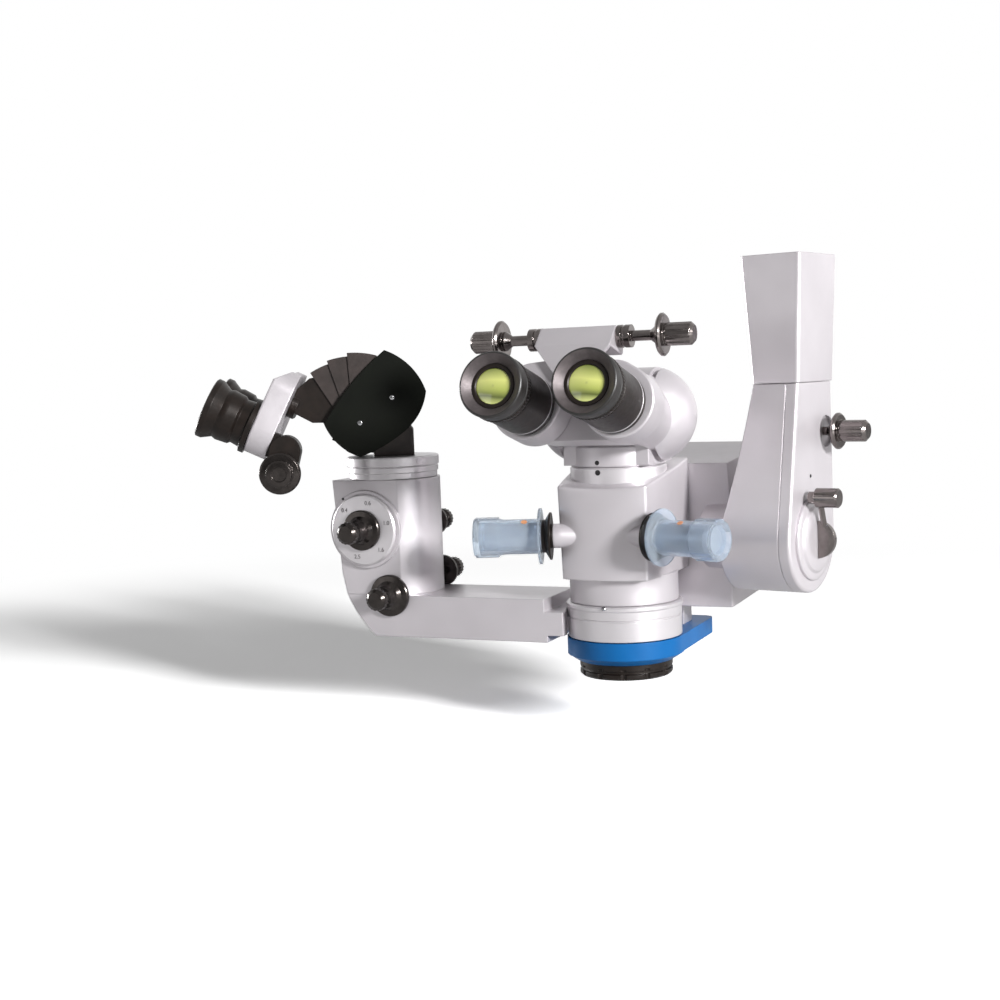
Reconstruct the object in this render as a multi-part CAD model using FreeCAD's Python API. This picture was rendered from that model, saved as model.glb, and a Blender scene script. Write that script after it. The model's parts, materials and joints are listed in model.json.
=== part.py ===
import FreeCAD, Part
import math
import os

# Hanging head of a surgical microscope, with the surgeon's tube and the assistant's microscope.
# Shapes are drawn about the objective's axis: +Z up, -Y towards the surgeon, height 0 at the
# objective's front face. They are moved at the end, so that the stand socket's mouth is the origin.

runFit = 0.05            # radial clearance of a shaft in its bore
seatGap = 0.3            # rest gap between pieces that move past each other

# objective, rings and body
objectiveRadius = 33.0
objectiveHeight = 11.0
lensRadius = 25.0
ringRadius = 41.0
accessoryTop = 28.0
accessoryTail = 86.0     # reach of the blue tail behind the axis
neckRadius = 35.0        # spigot that the assistant's ring turns on
assistantRingTop = 53.0
collarRadius = 38.5      # fixed neck above the assistant's ring
bodyBottom = 72.0
bodyFront = 48.0         # reach of the bulged front face
bodyCornerX = 32.6
bodyCornerY = 42.0
bodyBackX = 39.0
bodyBackY = 36.0
bodyTaper = 0.95         # bottom section over top section
cavityRadius = 27.0
baffleTop = 44.0         # plate over the objective that the guide rods stand on
lightRadius = 20.5
zoomCellRadius = 26.0
zoomCellThickness = 10.0
zoomTravelUpper = 30.0   # travel of each cell in one turn of the hand knobs
zoomTravelLower = 38.0
zoomBack = 0.25          # share of that turn that lies behind the rest position
zoomLensRadius = 8.5
zoomLensOffset = 11.5
rodRadius = 1.5
rodOffset = 23.3
turretRadius = 34.0
turretTop = 149.0
turretHeight = 14.0
bodyFrontTop = turretTop - turretHeight + 1.0
bodyBackTop = turretTop + 2.0

# hand knobs with their sterile caps
knobFlangeX = 43.1
knobFlangeY = -45.6
knobHeight = 102.6
knobSplay = 16.7
knobShaftRadius = 5.0
knobShaftDepth = 26.0
bossRadius = 8.5         # tapered boss at the body's corner, round the knob's shaft
dishRadius = 16.5
gripRadius = 9.6
gripLength = 41.0
capFlangeRadius = 19.5
capRadius = 12.2
capTipRadius = 14.2
capLength = 47.0
capTipLength = 17.0

# surgeon's tube
tubeSlope = 15.0         # rest angle of the eyepieces over the horizontal
tubePinY = -4.0
tubePinZ = turretTop + 34.5
tubeBaseRadius = 34.0
tubeBaseHeight = 13.7
knuckleWidth = 62.0
knuckleRadius = 33.0
pinRadius = 5.0
pinHold = 16.0           # length of the pin in each dome
domeRadius = 34.0
domeCentreX = 23.0
pupilHalf = 31.0         # half the distance between the eyepieces
bridgeFront = 67.7
apronRadius = 42.8       # rounded skin under the bridge, round the tilt axis
apronWall = 2.4
apronLow = 32.0          # how far the skin reaches down from the eyepieces' direction, degrees
apronReach = 55.0

# lower arm and stand housing, turned about the vertical
armTurn = -12.0
armCornerX = 125.0
armCornerY = 10.0
drumHeight = 94.0
drumDepth = 19.5         # drum axis behind the housing's front plane
drumRadius = 38.0
bossShift = 0.0
armDepth = 56.0
seamHeight = 202.0
armTopHeight = 290.0
armWidthSeam = 33.0
armWidthDrum = 53.0
armWidthTop = 40.0
topFlare = 4.0
shellSplit = 8.5        # thickness of the right case half
swivelX = -16.5
swivelDepth = 28.0
swivelRadius = 9.0
swivelReach = 38.0       # spindle length inside the upper housing
socketRadius = 12.5
socketDepth = 32.0
clampHoleRadius = 3.0
axleRadius = 12.0
domeCoverRadius = 29.0
knobLeverShift = -11.5    # lever knob from the tilt axis, along the arm's depth
knobLeverRise = 29.5
leverStemRadius = 2.0
brakeDepth = 46.0
brakeHeight = 167.0

# carrier between body and arm
carrierRight = 65.5
carrierSpread = 3.5      # how much wider the carrier is at its foot
carrierFront = 36.6
carrierBottom = 41.0
carrierTop = 145.0
carrierLength = 72.0
hangerHalf = 30.0        # block that holds the blue tail
carrierRise = 9.0        # climb of top and bottom edges towards the back, degrees

# assistant's bar and column
barBottom = 24.6
barTop = 55.5
barHalfDepth = 30.0
columnX = -181.0
columnRadius = 35.0
columnTop = 141.0
columnCornerX = -217.0
columnTaper = 8.5        # how far the outer face draws in down to the bar
swivelRingTop = 157.5
dialX = -190.0
dialHeight = 104.5
dialRadius = 26.5
dialShaftRadius = 4.0
changerRadius = 21.0
changerLength = 44.0
focusX = -172.0
rearUpperX = dialX + 26.0
rearLowerX = focusX + 14.0
rearLowerHeight = 66.0
focusHeight = 55.5

# assistant's tube
sideTurn = 27.0          # the tube is swung towards the surgeon about the column
sideSlope = 26.2
sideAxisX = -207.7       # tilt axis, before the tube is swung
sideAxisZ = 170.8
sidePlateInner = 22.5
sidePlateThickness = 2.5
lamellaRadius = 64.5
lamellaStep = 2.5        # from one sheet to the next, along the radius
cheekStep = 1.3          # and across the tube
lamellaSheet = 0.8
lamellaSweep = 19.0
lamellaPitch = 14.2
lamellaFront = 121.4     # front edge of the innermost lamella
lamellaCount = 3

V = FreeCAD.Vector
zAxis = V(0, 0, 1)
shapes = {}


def frame(origin, ex, ey, ez):
    m = FreeCAD.Matrix(ex.x, ey.x, ez.x, origin.x, ex.y, ey.y, ez.y, origin.y, ex.z, ey.z, ez.z, origin.z,
                       0, 0, 0, 1)
    return FreeCAD.Placement(m)


def direction(degrees):
    return V(math.cos(math.radians(degrees)), math.sin(math.radians(degrees)), 0)


def placed(shape, place):
    moved = shape.copy()
    moved.Placement = place.multiply(moved.Placement)
    return moved


def rod(radius, start, end):
    way = end - start
    return Part.makeCylinder(radius, way.Length, start, way)


def tube(outer, inner, start, end):
    return rod(outer, start, end).cut(rod(inner, start, end))


def turned(profile, base=V(0, 0, 0), axis=zAxis):
    """Revolve a closed outline of (radius, distance along the axis) points about the axis."""
    points = [V(r, 0, h) for r, h in profile]
    body = Part.Face(Part.makePolygon(points + points[:1])).revolve(V(0, 0, 0), zAxis, 360)
    return placed(body, FreeCAD.Placement(base, FreeCAD.Rotation(zAxis, axis)))


def block(x0, x1, y0, y1, z0, z1):
    return Part.makeBox(x1 - x0, y1 - y0, z1 - z0, V(x0, y0, z0))


def polygon(points, way):
    """Extrude a closed outline of vectors along a way."""
    return Part.Face(Part.makePolygon(points + points[:1])).extrude(way)


def tangentOutline(circles):
    """Closed outline round (x, y, radius) circles in anticlockwise order: arcs joined by tangents."""
    ends = []
    for (x1, y1, r1), (x2, y2, r2) in zip(circles, circles[1:] + circles[:1]):
        along = V(x2 - x1, y2 - y1, 0)
        lean = (r1 - r2) / along.Length
        along.normalize()
        out = V(along.y, -along.x, 0) * math.sqrt(1 - lean * lean) + along * lean
        ends.append((V(x1, y1, 0) + out * r1, V(x2, y2, 0) + out * r2, out))
    edges = []
    for k, (start, end, out) in enumerate(ends):
        edges.append(Part.makeLine(start, end))
        x, y, r = circles[(k + 1) % len(circles)]
        leave, nextOut = ends[(k + 1) % len(ends)][0::2]
        first = math.degrees(math.atan2(out.y, out.x))
        sweep = (math.degrees(math.atan2(nextOut.y, nextOut.x)) - first) % 360
        edges.append(Part.Arc(end, V(x, y, 0) + direction(first + sweep / 2) * r, leave).toShape())
    return Part.Wire(edges)


def rounded(shape, radius, picks):
    """Fillet the edges that the test picks."""
    chosen = [e for e in shape.Edges if picks(e)]
    return shape.makeFillet(radius, chosen)


def upright(edge):
    span = edge.Vertexes[-1].Point - edge.Vertexes[0].Point
    return span.Length > 1 and abs(edge.Length - span.Length) < 0.01 and abs(span.z) > 0.95 * span.Length


# Stand housing and lower arm, drawn in the arm's own frame

armX = direction(armTurn)
armY = V(-armX.y, armX.x, 0)
armPlace = frame(V(armCornerX, armCornerY, 0), armX, armY, zAxis)
swivelPoint = armPlace.multVec(V(swivelX, swivelDepth, 0))
socketMouth = V(swivelPoint.x, swivelPoint.y, armTopHeight)
drumPoint = armPlace.multVec(V(0, drumDepth, drumHeight))


def section(x0, x1, y0, y1, z, radius):
    """Rounded rectangle at a height, for lofts."""
    corners = [(x0 + radius, y0 + radius, radius), (x1 - radius, y0 + radius, radius),
               (x1 - radius, y1 - radius, radius), (x0 + radius, y1 - radius, radius)]
    outline = tangentOutline(corners)
    outline.translate(V(0, 0, z))
    return outline


def upperArmHousing():
    cornerRadius = 3.0
    lip = 1.0
    low = seamHeight + seatGap
    outer = Part.makeLoft([section(-armWidthSeam - lip, lip, -lip, armDepth + lip, low, cornerRadius),
                           section(-armWidthTop - lip, topFlare, -lip, armDepth + topFlare, armTopHeight,
                                   cornerRadius)],
                          True, True)
    spindle = rod(swivelRadius + 3 + runFit, V(swivelX, swivelDepth, low - 1),
                  V(swivelX, swivelDepth, low + swivelReach + 6))
    socket = rod(socketRadius, V(swivelX, swivelDepth, armTopHeight - socketDepth),
                 V(swivelX, swivelDepth, armTopHeight + 1))
    clampHole = rod(clampHoleRadius, V(swivelX, swivelDepth, armTopHeight - 16),
                    V(swivelX, swivelDepth + 60, armTopHeight - 16))
    return outer.cut(spindle).cut(socket).cut(clampHole)


def armProfile(x, width):
    """The drop shaped side outline of the lower arm, extruded across the arm."""
    straight = seamHeight
    def touch(px, side):
        dx, dz = px - drumDepth, straight - drumHeight
        distance = math.hypot(dx, dz)
        turn = math.acos(drumRadius / distance)
        base = math.atan2(dz, dx)
        angle = base + side * turn
        return V(0, drumDepth + drumRadius * math.cos(angle), drumHeight + drumRadius * math.sin(angle))
    front, back = touch(0, 1), touch(armDepth, -1)
    low = V(0, drumDepth, drumHeight - drumRadius)
    top0, top1 = V(0, 0, straight), V(0, armDepth, straight)
    wire = Part.Wire([Part.makeLine(top0, front), Part.Arc(front, low, back).toShape(),
                      Part.makeLine(back, top1), Part.makeLine(top1, top0)])
    solid = Part.Face(wire).extrude(V(width, 0, 0))
    solid.translate(V(x, 0, 0))
    return solid


def armBores(body):
    body = body.cut(rod(axleRadius + 5, V(-armWidthDrum - 1, drumDepth, drumHeight),
                        V(-6, drumDepth, drumHeight)))
    return body


def armCaseRight():
    body = armProfile(-shellSplit, shellSplit)
    body = rounded(body, 2.5, lambda e: abs(e.CenterOfMass.x) < 0.01 and e.CenterOfMass.z < seamHeight - 1)
    foot = rod(swivelRadius, V(swivelX, swivelDepth, seamHeight - 20),
               V(swivelX, swivelDepth, seamHeight + 1))
    hole = rod(3.0 + runFit, V(-shellSplit - 1, brakeDepth, brakeHeight), V(1, brakeDepth, brakeHeight))
    recess = rod(11.0, V(-2.0, brakeDepth, brakeHeight), V(1, brakeDepth, brakeHeight))
    return armBores(body).cut(foot).cut(hole).cut(recess)


def armCaseLeft():
    body = armProfile(-armWidthDrum, armWidthDrum - shellSplit - seatGap)
    low, middle, high = V(-armWidthDrum, -60, 100), V(-41.5, -60, 150), V(-armWidthSeam, -60, seamHeight)
    farHigh, farLow = V(-armWidthDrum - 5, -60, seamHeight + 1), V(-armWidthDrum - 5, -60, 100)
    top = V(-armWidthSeam, -60, seamHeight + 1)
    slope = Part.Wire([Part.Arc(low, middle, high).toShape(), Part.makeLine(high, top),
                       Part.makeLine(top, farHigh),
                       Part.makeLine(farHigh, farLow), Part.makeLine(farLow, low)])
    body = body.cut(Part.Face(slope).extrude(V(0, 200, 0)))
    foot = rod(swivelRadius, V(swivelX, swivelDepth, seamHeight - 20),
               V(swivelX, swivelDepth, seamHeight + 1))
    brake = rod(3.0 + runFit, V(-shellSplit - 12, brakeDepth, brakeHeight), V(1, brakeDepth, brakeHeight))
    return armBores(body).cut(foot).cut(brake)


def swivelSpindle():
    """Shaft that hangs the lower arm, with a collar above the upper bush."""
    top = seamHeight + swivelReach
    return turned([(0, seamHeight - 20), (swivelRadius, seamHeight - 20), (swivelRadius, top + 1),
                   (swivelRadius + 2.5, top + 1),
                   (swivelRadius + 2.5, top + 4), (0, top + 4)], V(swivelX, swivelDepth, 0))


def swivelBushes():
    outer = swivelRadius + 3 + runFit
    spans = [(seamHeight + seatGap, seamHeight + 13), (seamHeight + 26, seamHeight + swivelReach + seatGap)]
    rings = [tube(outer, swivelRadius + runFit, V(swivelX, swivelDepth, a),
                  V(swivelX, swivelDepth, b)) for a, b in spans]
    return Part.makeCompound(rings)


def tiltDome():
    """Stepped round cover on the drum's right face."""
    r = domeCoverRadius
    return turned([(axleRadius + 2, 0), (r, 0), (r, 1.8), (r - 1.2, 2.6), (r - 5, 3.0), (r - 6.5, 4.6),
                   (r - 9.5, 5.6),
                   (r - 16, 6.2), (5.0 + runFit, 6.4), (5.0 + runFit, 2.5), (axleRadius + 2, 2.5)],
                  V(0, drumDepth, drumHeight), V(1, 0, 0))


def tiltBearings():
    spans = [(-armWidthDrum + 1, -armWidthDrum + 12), (-18, -7)]
    rings = [tube(axleRadius + 5, axleRadius + runFit, V(a, drumDepth, drumHeight),
                  V(b, drumDepth, drumHeight)) for a, b in spans]
    return Part.makeCompound(rings)


def tiltAxle():
    return turned([(0, -armWidthDrum - 12), (axleRadius, -armWidthDrum - 12), (axleRadius, -6.5),
                   (0, -6.5)],
                  V(0, drumDepth, drumHeight), V(1, 0, 0))


def wingKnob(start, gripRad, gripLen, discRadius, stemRadius, stemLength, coneRadius):
    """Half outline of a knob that points along its axis: stem, cone collar, disc and grip."""
    a = start
    b = a + stemLength
    return [(stemRadius, a), (stemRadius, b), (coneRadius, b + 4), (coneRadius, b + 6),
            (discRadius - 1.2, b + 6),
            (discRadius, b + 7.2), (discRadius, b + 8.4), (discRadius - 1.2, b + 9.6), (gripRad, b + 9.6),
            (gripRad, b + 9.6 + gripLen - 2.2), (gripRad - 2.2, b + 9.6 + gripLen), (0, b + 9.6 + gripLen)]


def fluted(body, gripRad, z0, z1, count, place):
    """Cut shallow flutes round a grip that lies on its own Z axis, then put it in place."""
    for k in range(count):
        at = direction(360.0 * k / count) * (gripRad + 0.25)
        body = body.cut(Part.makeCylinder(0.85, z1 - z0, V(at.x, at.y, z0)))
    return placed(body, place)


def facing(base, axis):
    return FreeCAD.Placement(base, FreeCAD.Rotation(zAxis, axis))


def swivelBrakeKnob():
    outline = [(0, -18)] + [(3.0, -18)] + wingKnob(-1.7, 7.6, 20.0, 12.8, 3.0, 3.0, 7.0)
    body = turned(outline)
    return fluted(body, 7.6, 12.0, 31.5, 10, facing(V(0, brakeDepth, brakeHeight), V(1, 0, 0)))


def tiltLever():
    """Half disc fin beside the dome's hub, with a stem up to a cylindrical knob."""
    face = 6.4 + seatGap
    hub = rod(5.0, V(0, 0, 0), V(face + 3, 0, 0))
    finRadius, finShift, finThickness = 13.0, -4.5, 4.0
    fin = Part.makeCylinder(finRadius, finThickness, V(face - 1, finShift + finThickness / 2, 0),
                            V(0, -1, 0))
    fin = fin.cut(block(-40, face, -20, 10, -40, 40))
    foot = V(face + 4, finShift, 9)
    knobBase = V(0, knobLeverShift, knobLeverRise)
    stem = rod(leverStemRadius, foot, knobBase + V(face + 4, 0, 0))
    knobStart, knobEnd, knobRadius = 3.4, 25.0, 6.7
    knob = turned([(0, knobStart), (4.2, knobStart), (4.2, knobStart + 4.5), (knobRadius, knobStart + 5.5),
                   (knobRadius, knobEnd - 1), (knobRadius - 1, knobEnd), (0, knobEnd)], knobBase,
                   V(1, 0, 0))
    lever = hub.fuse([fin, stem, knob]).removeSplitter()
    lever.translate(V(0, drumDepth, drumHeight))
    return lever


# Head: carrier, body, rings, objective

def carrierHousing():
    """Block behind the body whose top and bottom climb towards the back, with the arm's boss."""
    back = V(armY.x, armY.y, 0) * carrierLength
    wide = carrierRight + carrierSpread
    plan = [V(-33, carrierFront, 0), V(wide, carrierFront, 0), V(wide, carrierFront, 0) + back,
            V(-8, carrierFront + carrierLength, 0), V(-26, carrierFront + 34, 0)]
    low, high = carrierBottom - 20, carrierTop + 40
    solid = polygon([p + V(0, 0, low) for p in plan], V(0, 0, high - low))
    solid = rounded(solid, 7.0, lambda e: upright(e) and e.CenterOfMass.y > carrierFront + 5)
    solid = rounded(solid, 1.5,
                    lambda e: upright(e) and e.CenterOfMass.x > 60 and e.CenterOfMass.y < carrierFront + 5)
    climb = math.tan(math.radians(carrierRise)) * 120
    start = carrierFront - 10
    side = polygon([V(carrierRight, start, carrierTop), V(wide, start, carrierBottom),
                    V(wide + 60, start, carrierBottom),
                    V(wide + 60, start, carrierTop + 60),
                    V(carrierRight - carrierSpread / 3, start, carrierTop + 60)], armY * 200)
    solid = solid.cut(side)
    under = polygon([V(-90, start, carrierBottom - 60), V(-90, start + 120, carrierBottom - 60),
                     V(-90, start + 120, carrierBottom + climb), V(-90, start, carrierBottom)],
                     V(220, 0, 0))
    above = polygon([V(-90, start, carrierTop), V(-90, start + 120, carrierTop + climb),
                     V(-90, start + 120, carrierTop + 150), V(-90, start, carrierTop + 150)], V(220, 0, 0))
    solid = solid.cut(under).cut(above)
    bossStart = armPlace.multVec(V(-armWidthDrum - 24, drumDepth + bossShift, drumHeight))
    bossEnd = armPlace.multVec(V(-armWidthDrum - seatGap, drumDepth + bossShift, drumHeight))
    boss = rod(drumRadius - bossShift - 14, bossStart, bossEnd)
    axleHole = rod(axleRadius, armPlace.multVec(V(-armWidthDrum - 12, drumDepth, drumHeight)),
                   armPlace.multVec(V(-armWidthDrum + 2, drumDepth, drumHeight)))
    ringRoom = rod(ringRadius + 1.5, V(0, 0, 0), V(0, 0, assistantRingTop + seatGap))
    neckRoom = rod(collarRadius, V(0, 0, assistantRingTop), V(0, 0, bodyBottom + 1))
    hanger = block(-hangerHalf, hangerHalf, carrierFront + 8, carrierFront + 28, accessoryTop - seatGap,
                   carrierBottom + 12)
    solid = solid.fuse([boss, hanger]).cut([axleHole, ringRoom, neckRoom])
    return solid.removeSplitter()


def bodyPlan(scale, z):
    """Body section: bulged front, straight sides that widen to the back."""
    cx, cy, bx, by = bodyCornerX * scale, -bodyCornerY * scale, bodyBackX * scale, bodyBackY
    left, right = V(-cx, cy, z), V(cx, cy, z)
    sideBow = 1.5
    edges = [Part.Arc(left, V(0, -bodyFront * scale, z), right).toShape(),
             Part.Arc(right, V((cx + bx) / 2 + sideBow, (cy + by) / 2, z), V(bx, by, z)).toShape(),
             Part.makeLine(V(bx, by, z), V(-bx, by, z)),
             Part.Arc(V(-bx, by, z), V(-(cx + bx) / 2 - sideBow, (cy + by) / 2, z), left).toShape()]
    return Part.Wire(edges)


def knobFrame(side):
    """Frame of a hand knob: origin at the cap's flange, Z out along the knob's axis."""
    axis = V(side * math.cos(math.radians(knobSplay)), -math.sin(math.radians(knobSplay)), 0)
    return facing(V(side * knobFlangeX, knobFlangeY, knobHeight), axis)


def bodyCasing():
    high = bodyBackTop + 5
    body = Part.makeLoft([bodyPlan(bodyTaper, bodyBottom), bodyPlan(1.0, high)], True, True)
    slant = polygon([V(-60, -60, bodyFrontTop - 2.2), V(-60, 60, bodyBackTop + 4.2), V(-60, 60, high + 30),
                     V(-60, -60, high + 30)], V(120, 0, 0))
    body = body.cut(slant)
    body = rounded(body, 2.5, lambda e: upright(e) and e.CenterOfMass.y < 0)
    body = rounded(body, 1.6,
                   lambda e: e.CenterOfMass.z > bodyFrontTop - 3 and e.CenterOfMass.y < bodyBackY - 5)
    collar = turned([(0, assistantRingTop + seatGap), (collarRadius, assistantRingTop + seatGap),
                     (collarRadius, bodyBottom + 1), (0, bodyBottom + 1)])
    spigot = turned([(0, accessoryTop), (neckRadius, accessoryTop), (neckRadius, bodyBottom),
                     (0, bodyBottom)])
    boss = turned([(0, -knobShaftDepth), (knobShaftRadius + 0.8, -knobShaftDepth), (bossRadius, -12),
                   (bossRadius, -8), (0, -8)])
    bosses = [placed(boss, knobFrame(side)) for side in (-1, 1)]
    body = body.fuse([collar, spigot] + bosses).removeSplitter()
    cavity = turned([(0, accessoryTop - 1), (lensRadius + 1, accessoryTop - 1),
                     (lensRadius + 1, baffleTop - 6),
                     (lightRadius, baffleTop - 6), (lightRadius, baffleTop), (cavityRadius, baffleTop),
                     (cavityRadius, turretTop - turretHeight), (0, turretTop - turretHeight)])
    seat = turned([(0, turretTop - turretHeight), (turretRadius, turretTop - turretHeight),
                   (turretRadius, high + 20), (0, high + 20)], V(0, tubePinY, 0))
    body = body.cut(cavity).cut(seat)
    for side in (-1, 1):
        body = body.cut(placed(Part.makeCylinder(knobShaftRadius + runFit, 40, V(0, 0, -40)),
                               knobFrame(side)))
    return body


def turretRing():
    """Dovetail seat for the surgeon's tube on top of the body."""
    low = turretTop - turretHeight
    rim = [(0, low), (turretRadius, low), (turretRadius, turretTop - 1), (turretRadius - 1, turretTop),
           (0, turretTop)]
    return turned(rim, V(0, tubePinY, 0)).cut(rod(lightRadius, V(0, 0, low), V(0, 0, turretTop)))


def accessoryRing():
    """Blue ring with a chamfered foot and a tail towards the back."""
    low = objectiveHeight
    ring = turned([(lensRadius + 1, low), (objectiveRadius + 1.5, low), (ringRadius + 0.5, low + 4.5),
                   (ringRadius + 0.5, accessoryTop - seatGap), (neckRadius - 0.2, accessoryTop - seatGap),
                   (neckRadius - 0.2, accessoryTop), (lensRadius + 1, accessoryTop)])
    half = ringRadius + 0.5
    tail = block(-half, half, 0, accessoryTail, low + 4.5, accessoryTop - seatGap)
    tail = rounded(tail, 8.0, lambda e: upright(e) and e.CenterOfMass.y > 10)
    tail = rounded(tail, 1.2, lambda e: e.CenterOfMass.z < low + 5 and e.CenterOfMass.y > 0.1)
    bore = turned([(0, low - 1), (lensRadius + 1, low - 1), (lensRadius + 1, accessoryTop + 1),
                   (0, accessoryTop + 1)])
    return ring.fuse(tail.cut(bore)).removeSplitter()


def objectiveCell():
    """Knurled objective mount: a groove round it and finger notches in its rim."""
    r, h = objectiveRadius, objectiveHeight
    cell = turned([(lensRadius - 1, 0), (r - 1.5, 0), (r, 1.5), (r, 4), (r - 1.6, 4.4), (r - 1.6, 6),
                   (r, 6.4), (r, h),
                   (lensRadius + 0.4, h), (lensRadius + 0.4, 2.5), (lensRadius - 1, 2.5)])
    notches = 12
    for k in range(notches):
        at = direction(360.0 * (k + 0.5) / notches) * (r + 1.0)
        cell = cell.cut(Part.makeCylinder(2.4, h - 2, V(at.x, at.y, -1)))
    return cell


def lensDisc(radius, edge, sag):
    """Biconvex lens about Z: a disc cut down by two balls, its edge centred on height 0."""
    curve = (radius * radius + sag * sag) / (2 * sag)
    shift = curve - sag - edge / 2
    disc = Part.makeCylinder(radius, edge + 2 * sag, V(0, 0, -edge / 2 - sag))
    for height in (-shift, shift):
        disc = disc.common(Part.makeSphere(curve, V(0, 0, height)))
    return disc


def zoomRods():
    spots = [V(0, rodOffset, baffleTop), V(0, -rodOffset, baffleTop)]
    length = turretTop - turretHeight - baffleTop
    return Part.makeCompound([Part.makeCylinder(rodRadius, length, p) for p in spots])


def zoomCell(z):
    """Disc that carries a lens pair and slides on the two guide rods."""
    disc = Part.makeCylinder(zoomCellRadius, zoomCellThickness, V(0, 0, z))
    for side in (-1, 1):
        disc = disc.cut(Part.makeCylinder(zoomLensRadius, zoomCellThickness + 2,
                                          V(side * zoomLensOffset, 0, z - 1)))
        disc = disc.cut(Part.makeCylinder(rodRadius + runFit, zoomCellThickness + 2,
                                          V(0, side * rodOffset, z - 1)))
    return disc


def handKnob(side):
    """Knob shaft in the body, dished black collar and the grip under the sterile cap."""
    outline = [(0, -knobShaftDepth - 8), (knobShaftRadius, -knobShaftDepth - 8), (knobShaftRadius, -7.6),
               (8.5, -7.6),
               (8.5, -6.0), (dishRadius, -6.8), (dishRadius, -5.6), (11.5, -2.6), (11.5, -0.4),
               (gripRadius, -0.4),
               (gripRadius, gripLength - 2), (gripRadius - 2, gripLength), (0, gripLength)]
    return placed(turned(outline), knobFrame(side))


def sterileCap(side):
    """Thin blind sleeve: flange, straight body and a wider twelve sided tip."""
    inner = gripRadius + 0.4
    tipStart = capLength - capTipLength
    sleeve = turned([(inner, 0), (capFlangeRadius, 0), (capFlangeRadius, 1.6), (capRadius + 1.2, 2.2),
                     (capRadius, 3.4),
                     (capRadius, tipStart - 4), (capTipRadius - 1.2, tipStart),
                     (capTipRadius - 1.2, capLength),
                     (0, capLength), (0, gripLength + 2), (inner, gripLength + 2)])
    facets = 12
    corners = [direction(360.0 * k / facets) * capTipRadius + V(0, 0, tipStart) for k in range(facets)]
    tip = polygon(corners, V(0, 0, capTipLength - 1.0))
    tip = tip.cut(Part.makeCylinder(capTipRadius - 1.6, capTipLength, V(0, 0, tipStart)))
    return placed(sleeve.fuse(tip).removeSplitter(), knobFrame(side))


# Surgeon's tube. Its own frame has X across, Y up over the tube and Z out along the eyepieces.

def slopeFrame(origin, outward, slope):
    c, s = math.cos(math.radians(slope)), math.sin(math.radians(slope))
    along = outward * c + zAxis * s
    up = zAxis * c - outward * s
    return frame(origin, up.cross(along), up, along)


tubeFrame = slopeFrame(V(0, tubePinY, tubePinZ), V(0, -1, 0), tubeSlope)


def tubeBase():
    """Foot on the turret, flat at the sides for the domes, that rises into the knuckle of the tilt joint."""
    low = turretTop + seatGap
    half = knuckleWidth / 2
    foot = turned([(0, low), (tubeBaseRadius - 0.8, low), (tubeBaseRadius, low + 0.8),
                   (tubeBaseRadius, low + tubeBaseHeight),
                   (tubeBaseRadius - 3, low + tubeBaseHeight + 3), (0, low + tubeBaseHeight + 3)],
                   V(0, tubePinY, 0))
    knuckle = rod(knuckleRadius, V(-half, tubePinY, tubePinZ), V(half, tubePinY, tubePinZ))
    post = block(-half, half, tubePinY - 26, tubePinY + 26, low + 1, tubePinZ)
    slab = block(-half, half, tubePinY - 60, tubePinY + 60, low, tubePinZ + 60)
    light = turned([(0, low - 1), (lightRadius, low - 1), (lightRadius, low + 8), (0, low + 8)],
                   V(0, tubePinY, 0))
    bore = rod(pinRadius + runFit, V(-half - 1, tubePinY, tubePinZ), V(half + 1, tubePinY, tubePinZ))
    return foot.fuse([knuckle, post]).common(slab).removeSplitter().cut(bore).cut(light)


def tubePin():
    reach = knuckleWidth / 2 + pinHold
    return rod(pinRadius, V(-reach, tubePinY, tubePinZ), V(reach, tubePinY, tubePinZ))


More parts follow.
